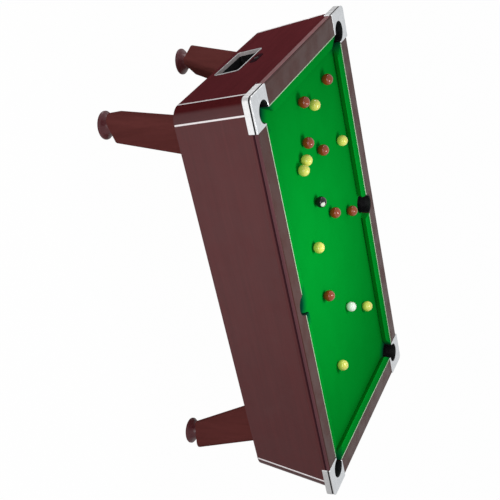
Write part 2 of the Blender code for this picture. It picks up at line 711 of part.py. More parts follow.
def make_tray():
    """Its floor falls to the window as much as the panel leans."""
    def face(z, proud):
        return -outer_x(z) - proud

    def tunnel(wall, front, back):
        low = WINDOW_LOW - wall
        high = WINDOW_LOW + WINDOW_HEIGHT + wall
        rise = TAPER * (back + outer_x(low))
        return [(face(low, front), low), (back, low + rise), (back, high + rise), (face(high, front), high)]

    frame_low = WINDOW_LOW - TRAY_WALL - WINDOW_FRAME
    frame_high = WINDOW_LOW + WINDOW_HEIGHT + TRAY_WALL + WINDOW_FRAME
    proud = FIT + FRAME_THICKNESS
    strip = [(face(frame_low, FIT), frame_low), (face(frame_low, proud), frame_low),
             (face(frame_high, proud), frame_high), (face(frame_high, FIT), frame_high)]
    outer_width = WINDOW_WIDTH + 2 * TRAY_WALL
    mesh = across_prism("ball_tray", strip, WINDOW_Y, outer_width + 2 * WINDOW_FRAME)
    tray = placed("ball_tray", mesh, STEEL)
    outside = tunnel(TRAY_WALL, FIT + FRAME_THICKNESS / 2, TRAY_BACK_X)
    body = across_prism("tray_body", outside, WINDOW_Y, outer_width)
    combine(tray, cutter("tray_body", body), "UNION")
    inside = tunnel(0, proud + LAP, TRAY_BACK_X - TRAY_WALL)
    hollow = across_prism("tray_inside", inside, WINDOW_Y, WINDOW_WIDTH)
    combine(tray, cutter("tray_inside", hollow), "DIFFERENCE")
    entry_low = DECK_VALLEY_Z + LAP
    entry = box_mesh("tray_entry", (TRAY_BACK_X - TRAY_WALL - LAP, -ENTRY_WIDTH / 2, entry_low),
                     (TRAY_BACK_X + LAP, ENTRY_WIDTH / 2, entry_low + ENTRY_HEIGHT))
    combine(tray, cutter("tray_entry", entry), "DIFFERENCE")


def make_deck():
    tray_half = WINDOW_WIDTH / 2 + TRAY_WALL + DECK_TRAY_GAP
    tray_low = WINDOW_Y - tray_half
    tray_high = WINDOW_Y + tray_half
    room = CASH_WIDTH / 2 + COMPARTMENT_MARGIN
    room_y = outer_y(BASE_TOP) - CASH_DEPTH - COMPARTMENT_MARGIN
    end_x = outer_x(DECK_VALLEY_Z) - PANEL_THICKNESS - DECK_TO_PANEL
    edge_y = outer_y(DECK_VALLEY_Z) - PANEL_THICKNESS - DECK_TO_PANEL
    post_x = outer_x(DECK_VALLEY_Z) - CORNER_RADIUS
    post_y = outer_y(DECK_VALLEY_Z) - CORNER_RADIUS
    xs = [-end_x, -post_x, DECK_VALLEY_X, COIN_X - room, COIN_X + room, post_x, end_x]
    ys = [-edge_y, -post_y, tray_low, 0, tray_high, room_y, post_y, edge_y]

    def kept(x, y):
        if abs(x) > post_x and abs(y) > post_y:
            return False
        if x < DECK_VALLEY_X and tray_low < y < tray_high:
            return False
        return not (abs(x - COIN_X) < room and y > room_y)

    bm = bmesh.new()
    corner = {(x, y): bm.verts.new((x, y, deck_top(x, y))) for x in xs for y in ys}
    for x0, x1 in zip(xs, xs[1:]):
        for y0, y1 in zip(ys, ys[1:]):
            if kept((x0 + x1) / 2, (y0 + y1) / 2):
                bm.faces.new([corner[x0, y0], corner[x1, y0], corner[x1, y1], corner[x0, y1]])
    bmesh.ops.delete(bm, geom=[vertex for vertex in bm.verts if not vertex.link_faces], context="VERTS")
    deck = placed("ball_deck", mesh_from(bm, "ball_deck"), PLYWOOD)
    sheet = deck.modifiers.new("sheet", "SOLIDIFY")
    sheet.thickness = DECK_THICKNESS
    sheet.offset = -1
    half = BEARER_HALF_WIDTH
    low = BASE_TOP + FIT
    sink = DECK_THICKNESS / 2
    for number in range(BEARER_COUNT):
        x = TRAY_BACK_X + BEARER_FROM_TRAY + number * BEARER_SPACING
        profile = [(-half, low), (half, low), (half, deck_top(x, half) - sink), (0, deck_top(x, 0) - sink),
                   (-half, deck_top(x, half) - sink)]
        bearer = along_prism(f"bearer_{number}", profile, x, BEARER_THICKNESS)
        combine(deck, cutter(f"bearer_{number}", bearer), "UNION")


# Coin mechanism: recess and guide, slide with its push rod and ball stop, and the cash box

def side_plate(low, high, thickness):
    """(y, z) of a plate lying on the far side's leaning outer face."""
    return [(outer_y(low) + FIT, low), (outer_y(low) + FIT + thickness, low),
            (outer_y(high) + FIT + thickness, high), (outer_y(high) + FIT, high)]


def make_coin_mech():
    half_plate = RECESS_HEIGHT / 2 + COIN_PLATE_RIM
    plate = side_plate(COIN_Z - half_plate, COIN_Z + half_plate, FRAME_THICKNESS)
    plate_width = RECESS_WIDTH + 2 * COIN_PLATE_RIM
    mech = placed("coin_mech", along_prism("coin_mech", plate, COIN_X, plate_width), STEEL)
    back = outer_y(COIN_Z) - RECESS_DEPTH

    def cup(wall, front, depth):
        low = COIN_Z - RECESS_HEIGHT / 2 - wall
        high = COIN_Z + RECESS_HEIGHT / 2 + wall
        end = back - depth
        return [(end, low), (outer_y(low) + front, low), (outer_y(high) + front, high), (end, high)]

    outer = along_prism("recess_body", cup(RECESS_WALL, FIT + FRAME_THICKNESS / 2, RECESS_WALL), COIN_X,
                        RECESS_WIDTH + 2 * RECESS_WALL)
    combine(mech, cutter("recess_body", outer), "UNION")
    guide_end = back - RECESS_WALL - GUIDE_LENGTH
    half_guide = SLIDE_WIDTH / 2 + GUIDE_SIDE
    guide_up = SLIDE_THICKNESS / 2 + GUIDE_COVER
    guide = box_mesh("slide_guide", (COIN_X - half_guide, guide_end, COIN_Z - guide_up),
                     (COIN_X + half_guide, back - LAP, COIN_Z + guide_up))
    combine(mech, cutter("slide_guide", guide), "UNION")
    inside = along_prism("recess_inside", cup(0, FIT + FRAME_THICKNESS + LAP, 0), COIN_X, RECESS_WIDTH)
    combine(mech, cutter("recess_inside", inside), "DIFFERENCE")
    channel = box_mesh("slide_channel",
                       (COIN_X - SLIDE_WIDTH / 2 - FIT, guide_end - LAP, COIN_Z - SLIDE_THICKNESS / 2 - FIT),
                       (COIN_X + SLIDE_WIDTH / 2 + FIT, back + LAP, COIN_Z + SLIDE_THICKNESS / 2 + FIT))
    combine(mech, cutter("slide_channel", channel), "DIFFERENCE")


def make_coin_slide():
    """Pushed in by its handle, it draws the stop aside from the tray's entry."""
    half = SLIDE_THICKNESS / 2
    back = outer_y(COIN_Z) - RECESS_DEPTH
    handle_back = back + COIN_TRAVEL + HANDLE_SPARE
    bar_end = back - RECESS_WALL - GUIDE_LENGTH - SLIDE_TAIL
    slide = placed("coin_slide", box_mesh(
        "coin_slide", (COIN_X - HANDLE_WIDTH / 2, handle_back, COIN_Z - HANDLE_HEIGHT / 2),
        (COIN_X + HANDLE_WIDTH / 2, handle_back + HANDLE_THICKNESS, COIN_Z + HANDLE_HEIGHT / 2)), STEEL)
    stop_x = TRAY_BACK_X + STOP_GAP
    reach = ENTRY_WIDTH / 2 + STOP_OVERLAP
    rod = PUSH_ROD_WIDTH / 2
    pieces = {
        "slide_bar": ((COIN_X - SLIDE_WIDTH / 2, bar_end, COIN_Z - half),
                      (COIN_X + SLIDE_WIDTH / 2, handle_back + LAP, COIN_Z + half)),
        "push_rod": ((COIN_X - rod, -rod, COIN_Z - half), (COIN_X + rod, bar_end + LAP, COIN_Z + half)),
        "cross_arm": ((stop_x, -rod, COIN_Z - half), (COIN_X + rod, rod, COIN_Z + half)),
        "ball_stop": ((stop_x, -reach, deck_top(stop_x, reach) + STOP_ABOVE_DECK),
                      (stop_x + STOP_THICKNESS, reach, COIN_Z + half)),
    }
    for name, (low, high) in pieces.items():
        combine(slide, cutter(name, box_mesh(name, low, high)), "UNION")


def make_cash_box():
    low = CASH_LOW
    high = CASH_HIGH
    back = outer_y(low) - CASH_DEPTH
    margin = CASH_PLATE_MARGIN
    plate = side_plate(low - margin, high + margin, FRAME_THICKNESS)
    cash = placed("cash_box", along_prism("cash_box", plate, COIN_X, CASH_WIDTH + 2 * margin), STEEL)
    front = FIT + FRAME_THICKNESS / 2
    body = [(back, low), (outer_y(low) + front, low), (outer_y(high) + front, high), (back, high)]
    combine(cash, cutter("cash_body", along_prism("cash_body", body, COIN_X, CASH_WIDTH)), "UNION")
    room = box_mesh("cash_room",
                    (COIN_X - CASH_WIDTH / 2 + CASH_WALL, back + CASH_WALL, low + CASH_WALL),
                    (COIN_X + CASH_WIDTH / 2 - CASH_WALL, outer_y(low) - CASH_WALL, high + LAP))
    combine(cash, cutter("cash_room", room), "DIFFERENCE")


# Balls

def on_field(distances):
    """A place on the cloth from its distances to the cushions."""
    sizes = (PLAY_LENGTH, PLAY_WIDTH)
    return Vector([d - size / 2 if d > 0 else d + size / 2 for d, size in zip(distances, sizes)])


def make_ball(name, diameter, place, finish):
    bm = bmesh.new()
    bmesh.ops.create_uvsphere(bm, u_segments=BALL_SEGMENTS, v_segments=BALL_RINGS, radius=diameter / 2)
    mesh = mesh_from(bm, name)
    smooth(mesh)
    placed(name, mesh, finish, (*place, CLOTH_TOP + FIT + diameter / 2))


def make_balls():
    reds = [on_field(place) for place in RED_PLACES]
    yellows = [on_field(place) for place in YELLOW_PLACES]
    aside = Vector((cos(radians(PAIR_DEGREES)), sin(radians(PAIR_DEGREES))))
    yellows.append(yellows[PAIRED_YELLOW - 1] + (OBJECT_BALL + PAIR_GAP) * aside)
    for number, place in enumerate(reds, 1):
        make_ball(f"ball_red_{number}", OBJECT_BALL, place, RED)
    for number, place in enumerate(yellows, 1):
        make_ball(f"ball_yellow_{number}", OBJECT_BALL, place, YELLOW)
    make_ball("ball_black", OBJECT_BALL, on_field(BLACK_PLACE), BLACK)
    make_ball("ball_cue", CUE_BALL, on_field(CUE_PLACE), WHITE)


make_bed()
make_cushions()
make_rails()
make_castings()
make_liners()
make_cabinet()
make_base()
make_legs()
make_feet()
make_tray()
make_deck()
make_coin_mech()
make_coin_slide()
make_cash_box()
make_balls()
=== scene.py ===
"""Looks of the coin-operated pool table: finer pieces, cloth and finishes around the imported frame.

X runs along the length with the ball window at -X, Y across with the coin side at +Y, Z up. Metres.
The photograph is stored turned a quarter turn clockwise, so the camera is rolled to match it.
"""

import json
from itertools import product
from math import atan2, cos, pi, radians, sin

import bmesh
import bpy
from mathutils import Matrix, Quaternion, Vector

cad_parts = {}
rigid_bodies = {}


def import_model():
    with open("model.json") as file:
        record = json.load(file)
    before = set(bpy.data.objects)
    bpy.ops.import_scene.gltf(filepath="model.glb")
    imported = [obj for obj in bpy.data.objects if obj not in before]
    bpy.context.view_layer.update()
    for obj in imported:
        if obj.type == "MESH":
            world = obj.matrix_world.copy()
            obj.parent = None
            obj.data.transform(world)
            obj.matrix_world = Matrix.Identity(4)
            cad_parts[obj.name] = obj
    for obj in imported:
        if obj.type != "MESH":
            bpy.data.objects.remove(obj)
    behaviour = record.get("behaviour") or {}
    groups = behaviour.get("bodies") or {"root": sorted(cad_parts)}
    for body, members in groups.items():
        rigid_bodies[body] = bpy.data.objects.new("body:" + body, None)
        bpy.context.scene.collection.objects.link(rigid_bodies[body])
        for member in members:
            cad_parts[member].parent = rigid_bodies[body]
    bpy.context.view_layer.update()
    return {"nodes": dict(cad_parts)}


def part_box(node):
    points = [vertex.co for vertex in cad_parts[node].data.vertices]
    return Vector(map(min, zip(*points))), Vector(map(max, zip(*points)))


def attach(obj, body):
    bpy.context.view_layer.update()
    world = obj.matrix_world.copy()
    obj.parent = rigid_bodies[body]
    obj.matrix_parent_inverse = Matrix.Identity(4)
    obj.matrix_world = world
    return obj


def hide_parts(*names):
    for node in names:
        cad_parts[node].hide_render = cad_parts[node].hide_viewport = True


for old in list(bpy.data.objects):
    bpy.data.objects.remove(old, do_unlink=True)

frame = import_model()
nodes = frame["nodes"]
scene = bpy.context.scene

# Camera, fitted to the photographed edges
AZIMUTH = radians(-30.07)
ELEVATION = radians(25.214)
ROLL = radians(90 + 0.92)
DISTANCE = 5.072
TARGET = Vector((0.003, 0, 0.344))
LENS = 76.81
SENSOR = 36

# Clearance between pieces, and how far cuts and laps reach past an edge
FIT = 0.0003
LAP = 0.002

# Sizes and places from the frame
CORNERS = {"window_near": (-1, -1), "window_far": (-1, 1), "end_far": (1, 1), "end_near": (1, -1)}
RAIL_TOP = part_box("rail_far")[1].z
RAIL_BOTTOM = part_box("rail_far")[0].z
RAIL_INNER = Vector((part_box("rail_far_end")[0].x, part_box("rail_far")[0].y))
RAIL_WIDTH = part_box("rail_far")[1].y - RAIL_INNER.y
RAIL_HALF_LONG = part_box("rail_far")[1].x
RAIL_HALF_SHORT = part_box("rail_far_end")[1].y
CLOTH_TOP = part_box("bed_cloth")[1].z
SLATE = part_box("slate_bed")[1]
LINER_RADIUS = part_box("liner_middle_far")[1].x
LINER_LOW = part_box("liner_middle_far")[0].z
POCKET_HOLE = LINER_RADIUS + FIT
CASTING_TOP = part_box("casting_end_far")[1].z
CASTING_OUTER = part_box("casting_end_far")[1].x - RAIL_INNER.x
CASTING_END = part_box("casting_end_far")[0].x - RAIL_INNER.x
PANEL_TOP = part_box("end_panel_far")[1].z
CABINET_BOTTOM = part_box("end_panel_far")[0].z
PANEL_TOP_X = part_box("end_panel_far")[1].x
PANEL_TOP_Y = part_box("side_panel_far")[1].y
PANEL_LOW_X = max(v.co.x for v in nodes["end_panel_far"].data.vertices if v.co.z < CABINET_BOTTOM + FIT)
TAPER = (PANEL_TOP_X - PANEL_LOW_X) / (PANEL_TOP - CABINET_BOTTOM)
CORNER_RADIUS = PANEL_LOW_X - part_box("post_end_far")[0].x
LEG_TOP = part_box("leg_end_far")[1].z
LEG_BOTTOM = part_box("leg_end_far")[0].z
FOOT = (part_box("foot_end_far")[0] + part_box("foot_end_far")[1]) / 2
FOOT_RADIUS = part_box("foot_end_far")[1].x - FOOT.x
STUD_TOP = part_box("foot_end_far")[1].z
TRAY_LOW, TRAY_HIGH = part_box("ball_tray")
CASH_LOW, CASH_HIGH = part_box("cash_box")
MECH_LOW, MECH_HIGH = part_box("coin_mech")

# Cushions and their beads, whose tips are (share of the lap, size)
CUSHION_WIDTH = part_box("cushion_far_end")[1].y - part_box("cushion_far_end")[0].y + FIT
CUSHION_DROP = 0.0013
CUSHION_FOOT = 0.02
CUSHION_CROWN = 0.0008
CUSHION_SOFT = 0.0016
NOSE_RADIUS = 0.0042
NOSE_HEIGHT = 0.0302
NOSE_UNDER = -40
UNDERCUT = 1.25
JAW_CLEARANCE = 0.003
JAW_ROUND = 0.014
JAW_SHARE = 0.6
CORNER_JAW_SLOPE = 1.25
MIDDLE_JAW_SLOPE = 0.2
BEAD_WIDTH = 0.0046
BEAD_HEIGHT = 0.0018
BEAD_TIP = ((0, 0.4), (0.5, 0.85), (1, 1))

# Cloth, and how it turns down into a pocket: (out from the hole, up from the bed)
CLOTH_THICKNESS = 0.0008
CLOTH_TURN = ((0.0016, 0), (0.0006, -0.0004), (-0.0002, -0.0014), (-0.0006, -0.003),
              (-0.0006, -0.0085), (-0.0006, -0.0165))

# Rails and castings
RAIL_LOW_ROUND = 0.001
RAIL_SOFT = 0.0012
LONG_RAIL_ROUND, SHORT_RAIL_ROUND = 0.012, 0.0045
LONG_GROOVE, SHORT_GROOVE = (0.014, 0.0195), (0.0048, 0.0092)
GROOVE_DEPTH = 0.0018
CASTING_PLATE = 0.006
CASTING_WALL = 0.014
CASTING_EDGE = 0.003
CASTING_CORNER = 0.022
SEAM_HEIGHT = 0.0074
SEAM_DEPTH = 0.0036

# A face this near a pocket's hole that looks up less than this lines its mouth and is painted black as
# shade, and a casting's face that looks up more than this is part of its top, rougher and with painted shade
MOUTH_REACH = 0.0012
MOUTH_FLAT = 0.8
SATIN_SHADE_FLAT = 0.3

# Pocket liners: wall, edge as (inset, drop), and the heights of their lip and of their raised back
LINER_WALL = 0.003
LINER_EDGE = ((0, 0.0015), (0.0005, 0.0003), (0.0015, 0))
LINER_LIP = SLATE.z - 0.0165
LINER_TOP = RAIL_TOP - 0.0012

# Cabinet, legs and feet. A strip's tip is (up, size), a leg's edge (up, inset) as shares of LEG_EDGE,
# and a foot's roll (inset, height).
PANEL_THICKNESS = 0.018
STRIP_WIDTH = 0.0085
STRIP_HEIGHT = 0.0022
STRIP_TIP = ((0, 0.45), (0.001, 0.85), (0.003, 1))
LEG_AHEAD_OF_FOOT = 0.018
LEG_SPLAY = Vector((0.078, 0.063))
LEG_FOOT_BACK, LEG_FOOT_DEPTH = 0.145, 0.122
LEG_HEAD_BACK, LEG_HEAD_DEPTH = 0.179, 0.18
LEG_TIP_RADIUS = 0.034
LEG_BACK_RADIUS = 0.018
LEG_EDGE = 0.003
LEG_EDGE_CURVE = ((0, 1), (0.3, 0.3), (1, 0))
BORE_ROOM = 0.004
FOOT_HEIGHT = LEG_BOTTOM - FIT
FOOT_RIM = 0.01
FOOT_ROLL = ((0.0015, FOOT_RIM - 0.0002), (0, FOOT_RIM - 0.002), (0, 0.003), (0.001, 0.001), (0.003, 0))
NECK_RADIUS = 0.032
NECK_LENGTH = 0.004
NECK_EDGE = 0.002
STUD_RADIUS = 0.008
THREAD_PITCH = 0.0025
THREAD_DEPTH = 0.0007
THREAD_START = 0.001

# Ball window. The frame's edges are (inset, drop) outside and (growth, drop, larger corner) inside.
TRAY_WALL = 0.0012
WINDOW_FRAME = 0.0052
FRAME_INSET = 0.002
FRAME_THICKNESS = 0.003
FRAME_OUTER_EDGE = ((0, 0.0012), (0.0006, 0.0003), (0.0016, 0))
FRAME_INNER_EDGE = ((0.0016, 0, 0.0016), (0.0004, 0.0004, 0), (0, 0.0014, 0))
WINDOW_HEIGHT = 0.1114
WINDOW_CORNER = 0.009
REVEAL_DEPTH = 0.013
ENTRY_HALF = 0.032
ENTRY_LOW = 0.495
ENTRY_HEIGHT = 0.058
ENTRY_CORNER = 0.006

# Locks and screws. A plate's edge and the lock's parts are (inset, height), a screw's head (share of its
# radius, height).
LOCK_PLACE = (-0.003, 0.5835)
LOCK_RADIUS = 0.0105
LOCK_PLATE_HALF = (0.052, 0.0165)
LOCK_PLATE_EDGE = ((0, -FIT), (0, 0.0018), (0.0008, 0.0026), (0.0028, 0.0026), (0.004, 0.0012))
LOCK_COLLAR = ((0, 0), (0, 0.002), (0.001, 0.0034), (0.0035, 0.0038), (0.0045, 0.003), (0.0045, 0.001))
LOCK_BARREL = ((0.0055, 0), (0.0055, 0.003), (0.0062, 0.0036))
LOCK_SHADE = ((0.0045, 0), (0.0045, 0.0014))
KEYWAY = ((-0.0007, -0.0036, 0.0016), (0.0007, 0.0036, 0.005))
CASH_LOCK_DROP = 0.03
SCREW_RADIUS = 0.0035
SCREW_HEAD = ((0, -0.001), (1, -0.001), (1, 0.0004), (0.86, 0.0012), (0.5, 0.0018), (0, 0.002))
SCREW_SLOT = (0.62, 0.13)
SCREW_SLOT_LOW, SCREW_SLOT_HIGH = 0.0007, 0.004
SCREW_INSET = 0.0048
BASE_SCREW_INSET = 0.012
BASE_SCREWS_X = (-0.6, -0.3, 0, 0.3, 0.6)
BASE_SCREWS_Y = (-0.2, 0, 0.2)

# Middle of the painted shade round the near middle pocket, from the pocket's middle; then, from a pocket's
# hole, how far the cloth is painted with shade and how far it is darkest
POCKET_SHADE_MIDDLE = Vector((0.016, 0.012))
SHADED = (0.004, 0.075)
DARKEST = (0.001, 0.022)

# Painted sheen on the corner posts, and how far they turn before it
POST_SHEEN = 0.42
POST_SHEEN_TURN = (0.64, 0.84)

# Light from all round, the floor, and the bright pool on it that metal and polish mirror
WORLD_LIGHT = 0.32
FLOOR_HALF = 30
FLOOR_GREY = 0.85
FLOOR_WHITE = 0.985
POOL_MIDDLE = (-0.5, -1.8, 0)
POOL_REACH = (0.5, 2)
POOL_OUTSIDE = 0.15

# Lamps: name, place, target, size and power
LAMPS = (
    ("key", (-0.1, -0.25, 1.85), (-0.1, -0.25, 0.7), 0.55, 10),
    ("fill", (-1.6, -4.2, 1.3), (0, 0, 0.45), 3, 90),
    ("window_end_fill", (-3.2, 1.6, 0.6), (-0.85, 0.4, 0.4), 1, 32),
)

# Facets of round pieces
POCKET_STEPS = 72
CORNER_STEPS = 18
ROUND_STEPS = 10
TURN_STEPS = 64
STUD_STEPS = 32
SCREW_STEPS = 28
FLARE_STEPS = 14
NOSE_STEPS = 9
WINDOW_STEPS = 8
CURVE_STEPS = 6
EDGE_STEPS = 5
BALL_STEPS = (48, 24)


def outer_x(z):
    return PANEL_TOP_X - TAPER * (PANEL_TOP - z)


def outer_y(z):
    return PANEL_TOP_Y - TAPER * (PANEL_TOP - z)


# Materials


def add_node(tree, kind, inputs=None, **settings):
    """A shader node with its settings, and with a value or another node's output on some inputs."""
    made = tree.nodes.new(kind)
    for name, value in settings.items():
        setattr(made, name, value)
    for name, value in (inputs or {}).items():
        if isinstance(value, bpy.types.NodeSocket):
            tree.links.new(value, made.inputs[name])
        else:
            made.inputs[name].default_value = value
    return made


def spread_over(tree, source, low, high, start, end):
    """A value between low and high as the source goes from start to end."""
    limits = {"From Min": start, "From Max": end, "To Min": low, "To Max": high}
    made = add_node(tree, "ShaderNodeMapRange", {"Value": source, **limits}, interpolation_type="SMOOTHSTEP")
    return made.outputs["Result"]


def distance_from(tree, source, place):
    made = add_node(tree, "ShaderNodeVectorMath", {0: source, 1: place}, operation="DISTANCE")
    return made.outputs["Value"]


def combined(tree, operation, first, second):
    return add_node(tree, "ShaderNodeMath", {0: first, 1: second}, operation=operation).outputs[0]


class Finish:
    """A material whose colour, roughness and bump come from noise in the object's own metres."""

    def __init__(self, name, colour, roughness, metallic=0, gloss=0.5):
        self.material = bpy.data.materials.new(name)
        self.material.use_nodes = True
        self.tree = self.material.node_tree
        self.shader = self.tree.nodes["Principled BSDF"]
        self.place = self.node("ShaderNodeTexCoord").outputs["Object"]
        self.shader.inputs["Base Color"].default_value = (*colour, 1)
        self.shader.inputs["Roughness"].default_value = roughness
        self.shader.inputs["Metallic"].default_value = metallic
        self.shader.inputs["Specular IOR Level"].default_value = gloss
        self.tint = None
        self.height = None

    def node(self, kind, inputs=None, **settings):
        return add_node(self.tree, kind, inputs, **settings)

    def drive(self, name, source):
        """Links a source to one of the shader's inputs."""
        self.tree.links.new(source, self.shader.inputs[name])

    def noise(self, scale, stretch=(1, 1, 1), detail=4):
        """Noise from 0 to 1; a larger stretch on an axis means finer detail along it."""
        scales = [scale * s for s in stretch]
        place = self.node("ShaderNodeMapping", {"Vector": self.place, "Scale": scales}).outputs["Vector"]
        inputs = {"Vector": place, "Scale": 1, "Detail": detail, "Roughness": 0.55}
        return self.node("ShaderNodeTexNoise", inputs).outputs["Fac"]

    def spread(self, source, low, high, start=0.35, end=0.65):
        return spread_over(self.tree, source, low, high, start, end)

    def paint(self, source, colour):
        """Lays a colour over what is there, as much as the source says."""
        under = self.tint or self.shader.inputs["Base Color"].default_value
        inputs = {"Factor": source, "A": under, "B": (*colour, 1)}
        self.tint = self.node("ShaderNodeMix", inputs, data_type="RGBA").outputs["Result"]
        self.drive("Base Color", self.tint)

    def mottle(self, colour, share, scale, stretch=(1, 1, 1), detail=4, start=0.35, end=0.65):
        """Lays a colour on in patches of noise."""
        self.paint(self.spread(self.noise(scale, stretch, detail), 0, share, start, end), colour)

    def polish(self, source, low, high):
        self.drive("Roughness", self.spread(source, low, high))

    def relief(self, source, distance, strength):
        inputs = {"Height": source, "Distance": distance, "Strength": strength}
        if self.height:
            inputs["Normal"] = self.height
        self.height = self.node("ShaderNodeBump", inputs).outputs["Normal"]
        self.drive("Normal", self.height)


def laminate(name, grain, colour, gloss=0):
    """Mahogany laminate whose faint grain runs along one axis, with pores, broad bands and light scuffs."""
    fine = [1 if axis == grain else 55 for axis in "XYZ"]
    broad = [0.8 if axis == grain else 14 for axis in "XYZ"]
    made = Finish(name, colour, 0.36, gloss=gloss)
    made.mottle([c * 0.75 for c in colour], 0.45, 3, broad, 3)
    made.mottle([c * 1.25 for c in colour], 0.28, 4, fine, 5, 0.45, 0.7)
    made.mottle([c * 0.6 for c in colour], 0.28, 16, fine, 2, 0.6, 0.72)
    made.mottle((0.16, 0.1, 0.1), 0.06, 7, detail=8, start=0.58, end=0.8)
    made.polish(made.noise(11, detail=7), 0.3, 0.44)
    made.relief(made.noise(4, fine, 5), 0.0002, 0.25)
    return made


def post_laminate():
    """Corner posts, dull like the end panels, with a painted sheen where they turn to the side panels."""
    made = laminate("mahogany_post", "Z", (0.071, 0.0098, 0.0115))
    normal = made.node("ShaderNodeNewGeometry").outputs["Normal"]
    turn = made.node("ShaderNodeSeparateXYZ", {0: normal}).outputs["Y"]
    across = made.node("ShaderNodeMath", {0: turn}, operation="ABSOLUTE").outputs[0]
    made.drive("Specular IOR Level", made.spread(across, 0, POST_SHEEN, *POST_SHEEN_TURN))
    return made


def pocket_distance(made):
    """Distance from the nearest pocket painted with shade: a corner, all four alike, or the near middle."""
    quarter = made.node("ShaderNodeVectorMath", {0: made.place}, operation="ABSOLUTE")
    corner = (RAIL_INNER.x, RAIL_INNER.y, CLOTH_TOP)
    middle = (POCKET_SHADE_MIDDLE.x, POCKET_SHADE_MIDDLE.y - RAIL_INNER.y, CLOTH_TOP)
    from_corner = distance_from(made.tree, quarter.outputs["Vector"], corner)
    return combined(made.tree, "MINIMUM", from_corner, distance_from(made.tree, made.place, middle))


def cloth_finish():
    """Woven wool, a little uneven, with chalk dust and painted shade on the cloth round the pockets."""
    made = Finish("green_cloth", (0.0005, 0.3, 0.025), 0.95, gloss=0)
    made.mottle((0.0005, 0.265, 0.02), 0.4, 9, detail=6)
    made.mottle((0.001, 0.35, 0.034), 0.45, 700, (1, 1.6, 1), 2)
    made.mottle((0.02, 0.36, 0.07), 0.1, 55, start=0.62, end=0.8)
    # Painted shade on the cloth round the pockets, darkest next to each hole.
    mouth = pocket_distance(made)
    for share, (start, end), colour in ((0.92, SHADED, (0.001, 0.085, 0.034)),
                                        (0.9, DARKEST, (0.001, 0.045, 0.022))):
        made.paint(made.spread(mouth, share, 0, POCKET_HOLE + start, POCKET_HOLE + end), colour)
    made.relief(made.noise(1500, (1, 1.5, 1), 2), 0.0003, 0.5)
    made.relief(made.noise(260, detail=3), 0.0003, 0.25)
    return made


def metal(name, colour, rough_low, rough_high, brushed=(1, 1, 1), scale=90):
    """Metal with fine marks along one way and faint smudges."""
    made = Finish(name, colour, rough_low, 1)
    made.mottle([c * 0.8 for c in colour], 0.35, scale, brushed, 5)
    made.mottle([c * 0.62 for c in colour], 0.22, 24, detail=8, start=0.55, end=0.85)
    made.polish(made.noise(scale * 0.6, brushed, 6), rough_low, rough_high)
    made.relief(made.noise(scale, brushed, 4), 0.00004, 0.4)
    return made


def moulded(name, colour, roughness, scuff, grain=900, gloss=0.5):
    """Moulded plastic with a fine grain and pale scuffs."""
    made = Finish(name, colour, roughness, gloss=gloss)
    made.mottle(scuff, 0.5, 38, detail=8, start=0.56, end=0.78)
    made.mottle([c * 0.7 for c in colour], 0.4, 12)
    made.polish(made.noise(60, detail=6), roughness * 0.85, min(1, roughness * 1.3))
    made.relief(made.noise(grain, detail=2), 0.0001, 0.25)
    return made


def resin(name, colour, mark):
    """Cast ball resin: clear gloss with hair scratches, chalk and slight cloudiness."""
    made = Finish(name, colour, 0.14, gloss=0.38)
    made.mottle([c * 0.82 for c in colour], 0.35, 45, detail=3)
    made.mottle(mark, 0.3, 210, detail=6, start=0.66, end=0.8)
    made.polish(made.noise(160, detail=6), 0.06, 0.16)
    made.relief(made.noise(420, detail=4), 0.00003, 0.2)
    return made


def spotted(name, colour, spot, edge, towards, blur=0.006):
    """Ball resin with one round spot on the side that faces a direction."""
    made = resin(name, colour, (0.06, 0.06, 0.06))
    out = made.node("ShaderNodeVectorMath", {0: made.place}, operation="NORMALIZE").outputs["Vector"]
    inputs = {0: out, 1: Vector(towards).normalized()}
    turned_to = made.node("ShaderNodeVectorMath", inputs, operation="DOT_PRODUCT").outputs["Value"]
    made.paint(made.spread(turned_to, 0, 1, edge - blur, edge + blur), spot)
    return made


def slate_finish():
    """Grey stone with thin layers and pale specks."""
    made = Finish("slate", (0.075, 0.082, 0.09), 0.72)
    made.mottle((0.045, 0.05, 0.056), 0.8, 14, (1, 1, 9), 7)
    made.mottle((0.14, 0.15, 0.16), 0.4, 320, detail=3, start=0.55, end=0.75)
    made.relief(made.noise(120, (1, 1, 5), 6), 0.0006, 0.5)
    return made


def plywood_finish():
    """Birch plywood: long grain on its faces and thin layers through its thickness."""
    made = Finish("plywood", (0.42, 0.29, 0.17), 0.62, gloss=0.3)
    made.mottle((0.3, 0.19, 0.1), 0.7, 3, (1, 34, 1), 6)
    made.mottle((0.52, 0.39, 0.25), 0.5, 9, (1, 40, 1), 3, 0.55, 0.72)
    inputs = {"Vector": made.place, "Scale": 105, "Distortion": 0.6}
    layers = made.node("ShaderNodeTexWave", inputs, wave_type="BANDS", bands_direction="Z")
    made.paint(made.spread(layers.outputs["Fac"], 0, 0.3), (0.2, 0.12, 0.06))
    made.relief(made.noise(6, (1, 40, 1), 5), 0.0003, 0.4)
    return made


# One laminate in two copies set for how light falls: glossy on the side panels for a painted sheen, and
# without gloss on the end panels so they stay dark as in shade.
SIDE_SHEEN_WOOD = laminate("mahogany_side_sheen", "X", (0.088, 0.0115, 0.013), 0.41)
END_DULL_WOOD = laminate("mahogany_end_dull", "Y", (0.1, 0.0184, 0.0223))
POST_WOOD = post_laminate()
LEG_WOOD = laminate("mahogany_leg", "Z", (0.125, 0.033, 0.031))
LONG_RAIL_WOOD = laminate("rail_laminate_long", "X", (0.056, 0.013, 0.009), 0.12)
SHORT_RAIL_WOOD = laminate("rail_laminate_short", "Y", (0.056, 0.013, 0.009), 0.12)
